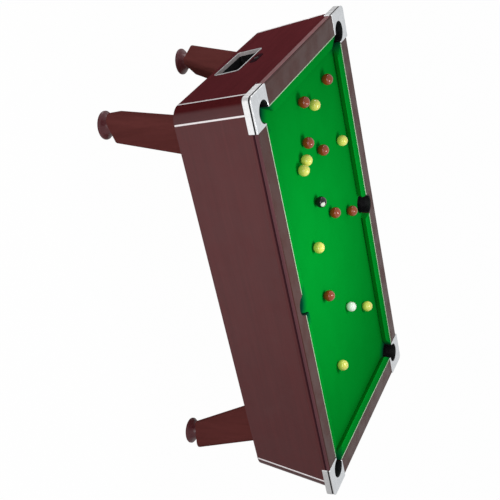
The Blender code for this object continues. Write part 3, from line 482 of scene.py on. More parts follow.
# The rails' edge finishes: lighter for a painted highlight on the edge, and darker for a band of painted
# shade below it on the long rails.
LONG_EDGE_HIGHLIGHT = laminate("rail_edge_long_highlight", "X", (0.12, 0.044, 0.052), 0.12)
SHORT_EDGE_HIGHLIGHT = laminate("rail_edge_short_highlight", "Y", (0.17, 0.04, 0.044), 0.22)
RAIL_SHADE_WOOD = laminate("rail_painted_shade", "X", (0.062, 0.018, 0.023))
CLOTH = cloth_finish()
CASTING = metal("polished_casting", (0.94, 0.94, 0.95), 0.14, 0.3, scale=70)
SATIN_SHADED_CASTING = metal("satin_casting_painted_shade", (0.57, 0.59, 0.61), 0.26, 0.44, scale=70)
STRIP = metal("bright_strip", (0.98, 0.92, 0.93), 0.22, 0.4, (1, 1, 0.05), 160)
STEEL = metal("bright_steel", (0.58, 0.58, 0.59), 0.28, 0.48, (0.05, 1, 1), 220)
BLACK_PLASTIC = moulded("black_plastic", (0.008, 0.008, 0.009), 0.42, (0.03, 0.03, 0.031), gloss=0.2)
FOOT_PLASTIC = moulded("brown_plastic", (0.11, 0.025, 0.03), 0.3, (0.15, 0.06, 0.06), gloss=0.3)
CREAM = moulded("cream_bead", (0.5, 0.74, 0.5), 0.4, (0.32, 0.5, 0.32), 500)
TRAY_PAINT = moulded("tray_paint", (0.52, 0.48, 0.48), 0.45, (0.36, 0.33, 0.33))
DARK_LINE = moulded("dark_inlay", (0.03, 0.0115, 0.0155), 0.55, (0.03, 0.02, 0.022), gloss=0)
SLATE_STONE = slate_finish()
PLYWOOD = plywood_finish()
RESINS = {
    "red": resin("red_resin", (0.29, 0.05, 0.012), (0.4, 0.15, 0.08)),
    "yellow": resin("yellow_resin", (0.78, 0.79, 0.14), (0.85, 0.84, 0.38)),
    "cue": resin("white_resin", (0.84, 0.94, 0.82), (0.74, 0.84, 0.74)),
    "black": spotted("black_resin", (0.01, 0.01, 0.011), (0.75, 0.76, 0.7), 0.915, (0.15, -0.75, 0.65)),
}


# Mesh helpers


def loft(rings, closed=True, caps=True, looped=False):
    """A mesh of faces between rings that have the same number of points."""
    bm = bmesh.new()
    rows = [[bm.verts.new(point) for point in ring] for ring in rings]
    pairs = list(zip(rows, rows[1:]))
    if looped:
        pairs.append((rows[-1], rows[0]))
    for first, second in pairs:
        count = len(first)
        for i in range(count if closed else count - 1):
            j = (i + 1) % count
            bm.faces.new((first[i], first[j], second[j], second[i]))
    if caps and not looped:
        bm.faces.new(rows[0])
        bm.faces.new(rows[-1])
    return bm


def arc(middle, radius, first, last, steps):
    """Points of an arc between two angles in degrees."""
    angles = [radians(first + (last - first) * i / steps) for i in range(steps + 1)]
    return [(middle[0] + radius * cos(a), middle[1] + radius * sin(a)) for a in angles]


def half_round(width, height, step):
    """(across, up) over a half-round section, with a point every so many degrees."""
    return [(width / 2 * cos(radians(a)), height * sin(radians(a))) for a in range(0, 181, step)]


def prism(outline, low, high):
    """An outline in plan between two heights."""
    return loft([[(x, y, z) for x, y in outline] for z in (low, high)])


def turned(profile, steps=TURN_STEPS):
    """A closed profile of (radius, height) turned about Z; it starts and ends on the axis."""
    angles = [2 * pi * i / steps for i in range(steps)]
    rings = [[(r * cos(a), r * sin(a), z) for r, z in profile] for a in angles]
    return loft(rings, closed=False, looped=True)


def boxed(low, high):
    bm = bmesh.new()
    size = Vector(high) - Vector(low)
    middle = (Vector(high) + Vector(low)) / 2
    bmesh.ops.create_cube(bm, matrix=Matrix.Translation(middle) @ Matrix.Diagonal((*size, 1)))
    return bm


def add_object(name, data):
    made = bpy.data.objects.new(name, data)
    scene.collection.objects.link(made)
    return made


def solid(name, bm, finish=None):
    """A mesh as an object, with no body yet."""
    bmesh.ops.remove_doubles(bm, verts=bm.verts, dist=1e-6)
    bmesh.ops.dissolve_degenerate(bm, edges=bm.edges, dist=1e-7)
    bmesh.ops.recalc_face_normals(bm, faces=bm.faces)
    mesh = bpy.data.meshes.new(name)
    bm.to_mesh(mesh)
    bm.free()
    if finish:
        mesh.materials.append(finish.material)
    return add_object(name, mesh)


def add_finishes(piece, *finishes):
    for finish in finishes:
        piece.data.materials.append(finish.material)


def settle(piece):
    """Applies the modifiers to the piece's own mesh."""
    bpy.context.view_layer.update()
    graph = bpy.context.evaluated_depsgraph_get()
    mesh = bpy.data.meshes.new_from_object(piece.evaluated_get(graph), depsgraph=graph)
    piece.modifiers.clear()
    piece.data = mesh


def cut(piece, bm):
    """Cuts another shape out of the piece."""
    tool = solid(f"{piece.name}_tool", bm)
    modifier = piece.modifiers.new("cut", "BOOLEAN")
    modifier.operation = "DIFFERENCE"
    modifier.solver = "EXACT"
    modifier.object = tool
    settle(piece)
    bpy.data.objects.remove(tool, do_unlink=True)


def soften(piece, width, segments, degrees):
    bevel = piece.modifiers.new("soften", "BEVEL")
    bevel.width = width
    bevel.segments = segments
    bevel.limit_method = "ANGLE"
    bevel.angle_limit = radians(degrees)
    settle(piece)


def fit_out(piece, body="table", replaces=(), sharp=35):
    """Smooth shading, the body that it rides on and the nodes that it stands for."""
    piece.data.shade_smooth()
    piece.data.set_sharp_from_angle(angle=radians(sharp))
    normals = piece.modifiers.new("even_normals", "WEIGHTED_NORMAL")
    normals.keep_sharp = True
    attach(piece, body)
    if replaces:
        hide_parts(*replaces)
    return piece


def turn_about_z(turn, place=(0, 0, 0)):
    return Matrix.Translation(place) @ Matrix.Rotation(turn, 4, "Z")


# Pockets: where they are and which way is out of the table, round the table from the window end

POCKETS = {}
for name, sx, sy in (("window_near", -1, -1), ("middle_near", 0, -1), ("end_near", 1, -1),
                     ("end_far", 1, 1), ("middle_far", 0, 1), ("window_far", -1, 1)):
    POCKETS[name] = Vector((sx * RAIL_INNER.x, sy * RAIL_INNER.y)), Vector((sx, sy)).normalized()


def back_reach(name):
    """Half the angle, in degrees, that a pocket's raised back covers; the cloth turns down over the rest."""
    return 90 if name.startswith("middle") else 135


def in_mouth(face, pocket):
    """Whether a face lines a pocket's mouth."""
    away = (face.center.xy - POCKETS[pocket][0]).length
    return away < POCKET_HOLE + MOUTH_REACH and face.normal.z < MOUTH_FLAT


# Playing cloth: stretched over the slate, and turned down over its edge inside each pocket


def to_edge(point, outward):
    """Where a line from the point straight out of the pocket leaves the slate."""
    reaches = [(half - abs(p)) / abs(o) for p, o, half in zip(point, outward, SLATE) if abs(o) > FIT]
    return point + outward * min(reaches)


def make_cloth():
    bm = bmesh.new()
    outline = []
    mouths = []
    for name, (place, outward) in POCKETS.items():
        middle = atan2(outward.y, outward.x) * 180 / pi + 180
        half = 180 - back_reach(name)
        steps = POCKET_STEPS // 2
        skip = steps * (90 - half) // 180
        mouth = arc(place, POCKET_HOLE + CLOTH_TURN[0][0], middle + 90, middle - 90, steps)
        mouth = [bm.verts.new((x, y, CLOTH_TOP)) for x, y in mouth]
        rims = [mouth[skip:steps + 1 - skip]]
        for out, up in CLOTH_TURN[1:]:
            rim = arc(place, POCKET_HOLE + out, middle + half, middle - half, steps - 2 * skip)
            rims.append([bm.verts.new((x, y, CLOTH_TOP + up)) for x, y in rim])
        ends = [bm.verts.new((*to_edge(p.co.xy, outward), CLOTH_TOP)) for p in (mouth[0], mouth[-1])]
        outline += [ends[0], *mouth, ends[1]]
        mouths.append(rims)
    bm.faces.new(outline)
    for rims in mouths:
        for upper, lower in zip(rims, rims[1:]):
            for i in range(len(upper) - 1):
                bm.faces.new((upper[i], upper[i + 1], lower[i + 1], lower[i]))
    cut_area = sum(face.calc_area() for face in bm.faces)
    cloth = solid("playing_cloth", bm, CLOTH)
    if max(cloth.data.polygons, key=lambda face: face.area).normal.z < 0:
        cloth.data.flip_normals()
    thick = cloth.modifiers.new("thickness", "SOLIDIFY")
    thick.thickness = CLOTH_THICKNESS
    thick.offset = -1
    settle(cloth)
    fit_out(cloth, replaces=["bed_cloth"], sharp=50)


# Cushions: rubber with cloth drawn over it, a rounded nose and rounded jaws, and a pale bead behind


def cushion_profile():
    """(depth from the rail, height) from the top of the back over the nose to the foot."""
    top = RAIL_TOP - CUSHION_DROP
    nose = (CUSHION_WIDTH - NOSE_RADIUS, CLOTH_TOP + NOSE_HEIGHT)
    nose_top = nose[1] + NOSE_RADIUS
    upper = []
    for i in range(CURVE_STEPS):
        t = i / CURVE_STEPS
        upper.append((FIT + (nose[0] - FIT) * t, top + (nose_top - top) * t + CUSHION_CROWN * sin(pi * t)))
    front = arc(nose, NOSE_RADIUS, 90, NOSE_UNDER, NOSE_STEPS)
    low = CLOTH_TOP + FIT
    end_depth, end_z = front[-1]
    under = [(end_depth + (CUSHION_FOOT - end_depth) * t, end_z + (low - end_z) * t ** UNDERCUT)
             for t in (0.25, 0.5, 0.75, 1)]
    return upper + front + under + [(FIT, low)]


def jaw_line(end, inward, depth):
    """From the rail along the jaw and round on to the nose, at one depth."""
    place, slope = end
    jaw = POCKET_HOLE + JAW_CLEARANCE

    def at(d):
        return Vector((place + inward * (jaw + slope * d), d))

    root = at(FIT)
    corner = at(depth)
    reach = min(JAW_ROUND, JAW_SHARE * (corner - root).length)
    start = corner + (root - corner).normalized() * reach
    finish = corner + Vector((inward * reach, 0))
    curve = []
    for i in range(CURVE_STEPS + 1):
        t = i / CURVE_STEPS
        curve.append((1 - t) ** 2 * start + 2 * t * (1 - t) * corner + t ** 2 * finish)
    return [root] + curve


def make_bead(name, rail_distance, turn, *ends):
    """The bead over the joint of rail and cushion, which stops short of castings and middle pockets."""
    low, high = [place + way * (abs(CASTING_END) if place else POCKET_HOLE + JAW_CLEARANCE) + way * LAP
                 for (place, slope), way in zip(ends, (1, -1))]
    tips = [(low + LAP * share, size) for share, size in BEAD_TIP]
    tips += [(high - LAP * share, size) for share, size in BEAD_TIP[::-1]]
    section = half_round(BEAD_WIDTH, BEAD_HEIGHT, 20)
    base = RAIL_TOP - FIT * 2
    bm = loft([[(x, y * size - rail_distance, base + h * size) for y, h in section] for x, size in tips])
    bm.transform(turn_about_z(turn))
    fit_out(solid(f"{name}_bead", bm, CREAM))


def make_cushion(name, rail_distance, turn, low_end, high_end):
    rings = []
    for depth, z in cushion_profile():
        line = jaw_line(low_end, 1, depth) + jaw_line(high_end, -1, depth)[::-1]
        rings.append([(p.x, p.y - rail_distance, z) for p in line])
    bm = loft(rings, caps=False)
    bm.transform(turn_about_z(turn))
    cushion = solid(f"{name}_cloth", bm, CLOTH)
    soften(cushion, CUSHION_SOFT, 3, 55)
    fit_out(cushion, replaces=[name], sharp=50)
    make_bead(name, rail_distance, turn, low_end, high_end)


def make_cushions():
    low, high = [(way * RAIL_INNER.x, CORNER_JAW_SLOPE) for way in (-1, 1)]
    across = [(way * RAIL_INNER.y, CORNER_JAW_SLOPE) for way in (-1, 1)]
    middle = (0, MIDDLE_JAW_SLOPE)
    for name, turn, ends in (("near_window", 0, (low, middle)), ("near_end", 0, (middle, high)),
                             ("far_end", pi, (low, middle)), ("far_window", pi, (middle, high))):
        make_cushion(f"cushion_{name}", RAIL_INNER.y, turn, *ends)
    for name, turn in (("window_end", -pi / 2), ("far_end_wall", pi / 2)):
        make_cushion(f"cushion_{name}", RAIL_INNER.x, turn, *across)


# Rails: a board with a rounded edge and a dark line let in along its outer face. A zone is the depth below
# the top at which a finish ends, and the finish. Below the top, the outer face carries a band of painted
# highlight, and on the long rails a band of painted shade below that.

LONG_ZONES = [(0.0018, LONG_RAIL_WOOD), (0.014, LONG_EDGE_HIGHLIGHT), (0.0235, RAIL_SHADE_WOOD), (1, SIDE_SHEEN_WOOD)]
SHORT_ZONES = [(0.007, SHORT_RAIL_WOOD), (0.03, SHORT_EDGE_HIGHLIGHT), (1, END_DULL_WOOD)]


def rail_profile(rounding, groove, zones):
    """(outward, height) round the board, with points where a finish ends on its outer face."""
    low = arc((RAIL_WIDTH - RAIL_LOW_ROUND, RAIL_BOTTOM + RAIL_LOW_ROUND), RAIL_LOW_ROUND, -90, 0, EDGE_STEPS)
    face = [(0, zones[-2][0]), (0, groove[1]), (GROOVE_DEPTH, sum(groove) / 2), (0, groove[0])]
    face = [(RAIL_WIDTH - inset, RAIL_TOP - depth) for inset, depth in face]
    top = arc((RAIL_WIDTH - rounding, RAIL_TOP - rounding), rounding, 0, 90, ROUND_STEPS)
    return [(0, RAIL_BOTTOM)] + low + face + top + [(0, RAIL_TOP)]


def inlay_profile(groove):
    middle = sum(groove) / 2
    section = [(FIT, groove[1]), (GROOVE_DEPTH + FIT, middle), (FIT, groove[0]), (2 * FIT, middle)]
    return [(RAIL_WIDTH - inset, RAIL_TOP - depth) for inset, depth in section]


def make_rail(name, rail_distance, half_length, turn, rounding, groove, zones, pocket=None):
    def board(profile, half):
        bm = loft([[(x, -rail_distance - out, z) for out, z in profile] for x in (-half, half)])
        bm.transform(turn_about_z(turn))
        return bm

    rail = solid(f"{name}_board", board(rail_profile(rounding, groove, zones), half_length), zones[0][1])
    if pocket:
        low, high = RAIL_BOTTOM - LAP, RAIL_TOP + LAP
        hole = turned([(0, low), (POCKET_HOLE, low), (POCKET_HOLE, high), (0, high)], POCKET_STEPS)
        hole.transform(Matrix.Translation((*POCKETS[pocket][0], 0)))
        cut(rail, hole)
    soften(rail, RAIL_SOFT, 3, 75)
    add_finishes(rail, *[finish for depth, finish in zones[1:]], BLACK_PLASTIC)
    back = Matrix.Rotation(-turn, 4, "Z")
    # Faces lining the pocket's mouth are painted black, as shade inside the pocket.
    for face in rail.data.polygons:
        middle = back @ face.center
        if pocket and in_mouth(face, pocket):
            face.material_index = len(zones)
        elif -rail_distance - middle.y > RAIL_WIDTH - rounding:
            face.material_index = sum(RAIL_TOP - middle.z > depth for depth, finish in zones)
    fit_out(rail, replaces=[name])
    fit_out(solid(f"{name}_inlay", board(inlay_profile(groove), half_length - FIT), DARK_LINE))


def make_rails():
    long = (LONG_RAIL_ROUND, LONG_GROOVE, LONG_ZONES)
    short = (SHORT_RAIL_ROUND, SHORT_GROOVE, SHORT_ZONES)
    for name, turn in (("near", 0), ("far", pi)):
        make_rail(f"rail_{name}", RAIL_INNER.y, RAIL_HALF_LONG, turn, *long, f"middle_{name}")
    for name, turn in (("window_end", -pi / 2), ("far_end", pi / 2)):
        make_rail(f"rail_{name}", RAIL_INNER.x, RAIL_HALF_SHORT, turn, *short)


# Corner castings: a polished plate with a skirt, its top rougher and with painted shade, and a black seam
# between them


def rim_path(offset, end):
    """The casting's outer edge in plan, from the end of one arm round the corner to the other."""
    middle = CASTING_OUTER - CASTING_CORNER
    corner = arc((middle, middle), CASTING_CORNER + offset, 90, 0, CORNER_STEPS)
    return [(end, CASTING_OUTER + offset)] + corner + [(CASTING_OUTER + offset, end)]


def make_castings():
    mouth = arc((0, 0), POCKET_HOLE, -90, 180, POCKET_STEPS * 3 // 4)
    plate = rim_path(0, CASTING_END) + [(0, CASTING_END)] + mouth + [(CASTING_END, 0)]
    past = CASTING_END - LAP
    hollow = [(past, past)] + rim_path(-CASTING_WALL, past)
    seam_top = CASTING_TOP - CASTING_PLATE
    seam_cut = rim_path(CASTING_EDGE * 2, past) + rim_path(-SEAM_DEPTH, past)[::-1]
    seam = rim_path(-SEAM_DEPTH / 2, CASTING_END + FIT) + rim_path(-SEAM_DEPTH * 2, CASTING_END + FIT)[::-1]
    for number, name in enumerate(("end_far", "window_far", "window_near", "end_near")):
        turn = turn_about_z(number * pi / 2, (*POCKETS[name][0], 0))
        casting = solid(f"casting_{name}_metal", prism(plate, RAIL_BOTTOM, CASTING_TOP), CASTING)
        cut(casting, prism(hollow, RAIL_BOTTOM - LAP, seam_top))
        soften(casting, CASTING_EDGE, 4, 70)
        cut(casting, prism(seam_cut, seam_top - SEAM_HEIGHT, seam_top))
        casting.data.transform(turn)
        add_finishes(casting, SATIN_SHADED_CASTING, BLACK_PLASTIC)
        # Faces lining the mouth are painted black as shade; the top's faces take the rougher metal, with
        # painted shade.
        for face in casting.data.polygons:
            if in_mouth(face, name):
                face.material_index = 2
            elif face.normal.z > SATIN_SHADE_FLAT and face.center.z > seam_top:
                face.material_index = 1
        fit_out(casting, replaces=[f"casting_{name}"])
        line = prism(seam, seam_top - SEAM_HEIGHT - FIT, seam_top + FIT)
        line.transform(turn)
        fit_out(solid(f"casting_{name}_seam", line, BLACK_PLASTIC))


# Pocket liners: a tube below the slate whose back rises to the rail


def make_liners():
    inside = LINER_RADIUS - LINER_WALL
    for name, (place, outward) in POCKETS.items():
        rings = []
        for i in range(POCKET_STEPS):
            degrees = 360 * i / POCKET_STEPS - 180
            top = LINER_TOP if abs(degrees) < back_reach(name) - 1 else LINER_LIP
            angle = radians(degrees) + atan2(outward.y, outward.x)
            section = [(LINER_RADIUS, LINER_LOW)]
            section += [(LINER_RADIUS - inset, top - drop) for inset, drop in LINER_EDGE]
            section += [(inside + inset, top - drop) for inset, drop in LINER_EDGE[1::-1]]
            section += [(inside, LINER_LOW)]
            rings.append([(place.x + r * cos(angle), place.y + r * sin(angle), z) for r, z in section])
        liner = solid(f"liner_{name}_cup", loft(rings, looped=True), BLACK_PLASTIC)
        fit_out(liner, replaces=[f"liner_{name}"])


# Cabinet corners and the bright strips over their joints


def make_posts():
    inner = CORNER_RADIUS - PANEL_THICKNESS
    section = arc((0, 0), CORNER_RADIUS, 0, 90, CORNER_STEPS) + arc((0, 0), inner, 90, 0, CORNER_STEPS)
    for name, (sx, sy) in CORNERS.items():
        rings = []
        for z in (CABINET_BOTTOM, PANEL_TOP):
            middle = Vector((outer_x(z) - CORNER_RADIUS, outer_y(z) - CORNER_RADIUS))
            rings.append([(sx * (middle.x + x), sy * (middle.y + y), z) for x, y in section])
        post = solid(f"post_{name}_round", loft(rings), POST_WOOD)
        fit_out(post, replaces=[f"post_{name}"])


def make_strips():
    section = half_round(STRIP_WIDTH, STRIP_HEIGHT, 15)
    low = CABINET_BOTTOM + LAP
    levels = [(low + up, size) for up, size in STRIP_TIP] + [(PANEL_TOP - FIT, 1)]
    for name, (sx, sy) in CORNERS.items():
        side, end = [], []
        for z, size in levels:
            x, y = outer_x(z), outer_y(z)
            joint_x, joint_y = x - CORNER_RADIUS, y - CORNER_RADIUS
            side.append([(sx * (joint_x + w * size), sy * (y - FIT + h * size), z) for w, h in section])
            end.append([(sx * (x - FIT + h * size), sy * (joint_y + w * size), z) for w, h in section])
        fit_out(solid(f"strip_side_{name}", loft(side), STRIP))
        fit_out(solid(f"strip_end_{name}", loft(end), STRIP))


# Legs and levelling feet


def leg_section(back, depth):
    """Rounded triangle in (towards the tip, across) about its middle."""
    half = depth / 2
    side = back / 2 - LEG_BACK_RADIUS
    tip = half - LEG_TIP_RADIUS
    heel = LEG_BACK_RADIUS - half
    slant = atan2(side - (LEG_TIP_RADIUS - LEG_BACK_RADIUS), tip - heel) * 180 / pi
    return (arc((tip, 0), LEG_TIP_RADIUS, slant - 90, 90 - slant, CORNER_STEPS)
            + arc((heel, side), LEG_BACK_RADIUS, 90 - slant, 180, CORNER_STEPS)
            + arc((heel, -side), LEG_BACK_RADIUS, 180, 270 + slant, CORNER_STEPS))


def leg_ring(sx, sy, z, inset):
    """A leg's outline at one height: the leg narrows and comes out towards its foot."""
    share = (z - LEG_BOTTOM) / (LEG_TOP - LEG_BOTTOM)
    back = LEG_FOOT_BACK + (LEG_HEAD_BACK - LEG_FOOT_BACK) * share - 2 * inset
    depth = LEG_FOOT_DEPTH + (LEG_HEAD_DEPTH - LEG_FOOT_DEPTH) * share - 2 * inset
    ahead = LEG_AHEAD_OF_FOOT / 2 ** 0.5
    middle = Vector((FOOT.x + ahead, FOOT.y + ahead)) - LEG_SPLAY * share
    tip = Vector((sx, sy)).normalized()
    across = Vector((-sx, sy)).normalized()
    return [(sx * middle.x + tip.x * u + across.x * v, sy * middle.y + tip.y * u + across.y * v, z)
            for u, v in leg_section(back, depth)]


def make_legs():
    bore = STUD_RADIUS + 2 * FIT
    levels = [(LEG_BOTTOM + LEG_EDGE * up, LEG_EDGE * inset) for up, inset in LEG_EDGE_CURVE] + [(LEG_TOP, 0)]
    for name, (sx, sy) in CORNERS.items():
        outside = [leg_ring(sx, sy, *level) for level in levels]
        centre = Vector((sx * FOOT.x, sy * FOOT.y))
        ways = [(Vector(p[:2]) - centre).normalized() * bore for p in outside[0]]
        inside = [[(*(centre + way), z) for way in ways] for z in (STUD_TOP + BORE_ROOM, LEG_BOTTOM)]
        leg = solid(f"leg_{name}_turned", loft(inside + outside), LEG_WOOD)
        fit_out(leg, replaces=[f"leg_{name}"])


def foot_profile():
    """Neck, trumpet flare and rolled rim, without the stud."""
    neck_low = FOOT_HEIGHT - NECK_LENGTH
    spread = FOOT_RADIUS - NECK_RADIUS
    drop = neck_low - FOOT_RIM
    flare = [(NECK_RADIUS + spread * (i / FLARE_STEPS) ** 2, neck_low - drop * i / FLARE_STEPS)
             for i in range(FLARE_STEPS)]
    neck = [(0, FOOT_HEIGHT), (NECK_RADIUS - NECK_EDGE, FOOT_HEIGHT), (NECK_RADIUS, FOOT_HEIGHT - NECK_EDGE)]
    return neck + flare + [(FOOT_RADIUS - inset, z) for inset, z in FOOT_ROLL] + [(0, 0)]


def stud_profile():
    """Thread ridges from the stud's top down into the foot."""
    root = STUD_RADIUS - THREAD_DEPTH
    ridges = []
    for i in range(int((STUD_TOP - FOOT_HEIGHT) / THREAD_PITCH)):
        z = STUD_TOP - THREAD_START - i * THREAD_PITCH
        ridges += [(root, z), (STUD_RADIUS, z - THREAD_PITCH / 2)]
    return [(0, STUD_TOP)] + ridges + [(root, FOOT_HEIGHT - LAP), (0, FOOT_HEIGHT - LAP)]


def make_feet():
    for name, (sx, sy) in CORNERS.items():
        place = Matrix.Translation((sx * FOOT.x, sy * FOOT.y, 0))
        body = turned(foot_profile())
        body.transform(place)
        foot = solid(f"foot_{name}_flare", body, FOOT_PLASTIC)
        fit_out(foot, f"foot_{name}", [f"foot_{name}"])
        stud = turned(stud_profile(), STUD_STEPS)
        stud.transform(place)
        fit_out(solid(f"foot_{name}_stud", stud, STEEL), f"foot_{name}", sharp=50)


# Ball window: bright frame, tray with rounded corners and its entry


def rounded_rectangle(middle, half, low, high, radius):
    """(y, z) points round a rectangle, the same number whatever its size."""
    right, left = middle + half - radius, middle - half + radius
    top, bottom = high - radius, low + radius
    points = []
    for turn, centre in zip((0, 90, 180, 270), ((right, top), (left, top), (left, bottom), (right, bottom))):
        points += arc(centre, radius, turn, turn + 90, WINDOW_STEPS)
    return points


def make_tray():
    middle = (TRAY_LOW.y + TRAY_HIGH.y) / 2
    half = (TRAY_HIGH.y - TRAY_LOW.y) / 2 - FRAME_INSET - WINDOW_FRAME
    low = TRAY_LOW.z + FRAME_INSET + WINDOW_FRAME
    high = low + WINDOW_HEIGHT
    back = TRAY_HIGH.x
    rise = TAPER * (back + outer_x(low))
    corner = WINDOW_CORNER
    rim = WINDOW_FRAME
    front = FIT + FRAME_THICKNESS

    def opening(grow, radius):
        return rounded_rectangle(middle, half + grow, low - grow, high + grow, radius)

    def on_face(grow, proud, radius):
        return [(-outer_x(z) - proud, y, z) for y, z in opening(grow, radius)]

    def at_back(grow, x):
        return [(x, y, z + rise) for y, z in opening(grow, corner)]

    def at_entry(x):
        ring = rounded_rectangle(0, ENTRY_HALF, ENTRY_LOW, ENTRY_LOW + ENTRY_HEIGHT, ENTRY_CORNER)
        return [(x, y, z) for y, z in ring]

    reveal = [(REVEAL_DEPTH - outer_x(z), y, z + TAPER * REVEAL_DEPTH) for y, z in opening(0, corner)]
    rings = [on_face(rim, FIT, corner + rim)]
    rings += [on_face(rim - inset, front - drop, corner + rim) for inset, drop in FRAME_OUTER_EDGE]
    rings += [on_face(grow, front - drop, corner + larger) for grow, drop, larger in FRAME_INNER_EDGE]
    rings += [reveal, at_back(0, back - TRAY_WALL), at_entry(back - TRAY_WALL), at_entry(back),
              at_back(TRAY_WALL, back), on_face(TRAY_WALL, FIT, corner)]
    tray = solid("ball_tray_shell", loft(rings, looped=True), STEEL)
    add_finishes(tray, TRAY_PAINT, BLACK_PLASTIC)
    for face in tray.data.polygons:
        x, y, z = face.center
        depth = x + outer_x(z)
        if abs(y - middle) < half + FIT and depth > 0 and x < back - FIT:
            face.material_index = 1 if depth < REVEAL_DEPTH else 2
    fit_out(tray, replaces=["ball_tray"])


# Locks and screws


def facing(normal, place):
    """Takes a shape turned about Z on to a face with this normal."""
    return Matrix.Translation(place) @ Vector(normal).to_track_quat("Z", "Y").to_matrix().to_4x4()


def on_coin_plates(x, z):
    """The place and the normal of a point on the coin mechanism's or the cash box's plate."""
    return (x, outer_y(z) + FIT + FRAME_THICKNESS, z), (0, 1, -TAPER)


def make_lock_plate():
    """A dark oval plate with a raised rim on the end panel, round the lock over the window."""
    y, z = LOCK_PLACE
    wide, high = LOCK_PLATE_HALF
    rings = []
    for inset, proud in LOCK_PLATE_EDGE:
        ring = rounded_rectangle(y, wide - inset, z - high + inset, z + high - inset, high - inset)
        rings.append([(-outer_x(h) - proud, w, h) for w, h in ring])
    fit_out(solid("window_lock_plate", loft(rings), DARK_LINE))


def make_lock(name, place, normal, body, barrel_finish):
    """A round cam lock: dark collar, dark ring and a barrel with a keyway."""
    stand = facing(normal, place)
    for part, profile, finish, slot in (("collar", LOCK_COLLAR, BLACK_PLASTIC, "black_plastic"),
                                        ("barrel", LOCK_BARREL, barrel_finish, None),
                                        ("shade", LOCK_SHADE, BLACK_PLASTIC, "black_plastic")):
        outline = [(LOCK_RADIUS - inset, z) for inset, z in profile]
        made = solid(f"{name}_{part}", turned([(0, 0)] + outline + [(0, profile[-1][1])]), finish)
        if part == "barrel":
            cut(made, boxed(*KEYWAY))
        made.data.transform(stand)
        fit_out(made, body)


def make_locks():
    y, z = LOCK_PLACE
    make_lock("window_lock", (-outer_x(z), y, z), (-1, 0, -TAPER), "table", BLACK_PLASTIC)
    on_cash_box = on_coin_plates((CASH_LOW.x + CASH_HIGH.x) / 2, CASH_HIGH.z - CASH_LOCK_DROP)
    make_lock("cash_lock", *on_cash_box, "cash_box", STEEL)


def screw_mesh():
    r = SCREW_RADIUS
    head = solid("screw_head", turned([(r * share, z) for share, z in SCREW_HEAD], SCREW_STEPS), STEEL)
    for x, y in (SCREW_SLOT, SCREW_SLOT[::-1]):
        cut(head, boxed((-r * x, -r * y, SCREW_SLOT_LOW), (r * x, r * y, SCREW_SLOT_HIGH)))
    mesh = head.data
    bpy.data.objects.remove(head, do_unlink=True)
    return mesh


def make_screws():
    mesh = screw_mesh()

    def screw(name, place, normal, body="table"):
        made = add_object(name, mesh)
        made.matrix_world = facing(normal, place)
        fit_out(made, body)

    plates = (("mech", "table", MECH_LOW, MECH_HIGH), ("cash", "cash_box", CASH_LOW, CASH_HIGH))
    for name, body, low, high in plates:
        xs = low.x + SCREW_INSET, high.x - SCREW_INSET
        zs = low.z + SCREW_INSET, high.z - SCREW_INSET
        for number, (x, z) in enumerate(product(xs, zs), 1):
            screw(f"screw_{name}_{number}", *on_coin_plates(x, z), body)
    low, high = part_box("base_board")
    places = list(product(BASE_SCREWS_X, (low.y + BASE_SCREW_INSET, high.y - BASE_SCREW_INSET)))
    places += product((low.x + BASE_SCREW_INSET, high.x - BASE_SCREW_INSET), BASE_SCREWS_Y)
    for number, (x, y) in enumerate(places, 1):
        screw(f"screw_base_{number}", (x, y, low.z), (0, 0, -1))


# Balls, and the solids that show as they are


def make_balls():
    u, v = BALL_STEPS
    for name in nodes:
        if not name.startswith("ball_") or name in ("ball_deck", "ball_tray"):
            continue
        low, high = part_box(name)
        colour = name.split("_")[1]
        bm = bmesh.new()
        bmesh.ops.create_uvsphere(bm, u_segments=u, v_segments=v, radius=(high.z - low.z) / 2)
        ball = solid(f"{name}_resin", bm, RESINS[colour])
        ball.location = (low + high) / 2
        fit_out(ball, name, [name], sharp=60)


def dress_nodes():
    """Finishes for the solids that stay as they are."""
    finishes = {
        SIDE_SHEEN_WOOD: ["side_panel_near", "side_panel_far"],
        END_DULL_WOOD: ["end_panel_window", "end_panel_far"],
        SLATE_STONE: ["slate_bed"],
        PLYWOOD: ["base_board", "ball_deck"],
        STEEL: ["coin_mech", "coin_slide", "cash_box"],
    }
    for finish, names in finishes.items():
        for name in names:
            for held in nodes[name].material_slots:
                held.material = finish.material


# Stage: camera, lights, floor


def make_camera():
    data = bpy.data.cameras.new("camera")
    data.sensor_width = SENSOR
    data.lens = LENS
    camera = add_object("camera", data)
    back = Vector((sin(AZIMUTH) * cos(ELEVATION), -cos(AZIMUTH) * cos(ELEVATION), sin(ELEVATION)))
    camera.location = TARGET + back * DISTANCE
    camera.rotation_mode = "QUATERNION"
    camera.rotation_quaternion = (-back).to_track_quat("-Z", "Y") @ Quaternion((0, 0, 1), ROLL)
    scene.camera = camera


def area_light(name, place, target, size, power):
    data = bpy.data.lights.new(name, "AREA")
    data.size = size
    data.energy = power
    lamp = add_object(name, data)
    lamp.location = place
    lamp.rotation_mode = "QUATERNION"
    lamp.rotation_quaternion = (Vector(target) - Vector(place)).to_track_quat("-Z", "Y")


def mixed(tree, share, first, second):
    """The first shader where the share is 0, going over to the second where it is 1."""
    return add_node(tree, "ShaderNodeMixShader", {0: share, 1: first, 2: second}).outputs[0]


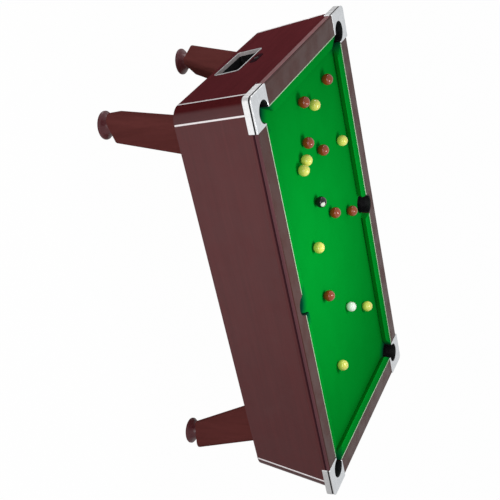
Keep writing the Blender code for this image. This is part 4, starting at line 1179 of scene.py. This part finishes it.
def shown_share(tree, pool=None):
    """1 for rays that show the background, straight, mirrored or through glass, and 0 for others.

    Where there is a pool, mirrored rays count only as much as it says."""
    path = add_node(tree, "ShaderNodeLightPath")
    mirrored = path.outputs["Is Glossy Ray"]
    if pool:
        mirrored = combined(tree, "MULTIPLY", mirrored, pool)
    total = combined(tree, "MAXIMUM", path.outputs["Is Camera Ray"], mirrored)
    return combined(tree, "MAXIMUM", total, path.outputs["Is Transmission Ray"])


def cleared_tree(owner):
    owner.use_nodes = True
    owner.node_tree.nodes.clear()
    return owner.node_tree


def background(tree, strength):
    return add_node(tree, "ShaderNodeBackground", {"Color": (1, 1, 1, 1), "Strength": strength}).outputs[0]


def make_world():
    """Even soft light, and white where it is seen or mirrored."""
    scene.world = bpy.data.worlds.new("studio")
    tree = cleared_tree(scene.world)
    shown = mixed(tree, shown_share(tree), background(tree, WORLD_LIGHT), background(tree, 1))
    add_node(tree, "ShaderNodeOutputWorld", {"Surface": shown})


def make_floor():
    """White to the camera with a faint shadow, mirrored white in a pool in front of the table and less
    round it, and see-through from below."""
    bm = bmesh.new()
    bmesh.ops.create_grid(bm, x_segments=1, y_segments=1, size=FLOOR_HALF)
    floor = solid("floor", bm)
    made = bpy.data.materials.new("studio_floor")
    tree = cleared_tree(made)
    ground = add_node(tree, "ShaderNodeNewGeometry")
    away = distance_from(tree, ground.outputs["Position"], POOL_MIDDLE)
    pool = spread_over(tree, away, 1, POOL_OUTSIDE, *POOL_REACH)
    white = combined(tree, "MULTIPLY", shown_share(tree, pool), FLOOR_WHITE)
    grey = add_node(tree, "ShaderNodeBsdfDiffuse", {"Color": (FLOOR_GREY, FLOOR_GREY, FLOOR_GREY, 1)})
    glow = add_node(tree, "ShaderNodeEmission")
    above = mixed(tree, white, grey.outputs[0], glow.outputs[0])
    clear = add_node(tree, "ShaderNodeBsdfTransparent")
    shown = mixed(tree, ground.outputs["Backfacing"], above, clear.outputs[0])
    add_node(tree, "ShaderNodeOutputMaterial", {"Surface": shown})
    floor.data.materials.append(made)


make_camera()
make_world()
make_floor()
for lamp in LAMPS:
    area_light(*lamp)
scene.view_settings.view_transform = "Standard"

make_cloth()
make_cushions()
make_rails()
make_castings()
make_liners()
make_posts()
make_strips()
make_legs()
make_feet()
make_tray()
make_lock_plate()
make_locks()
make_screws()
make_balls()
dress_nodes()
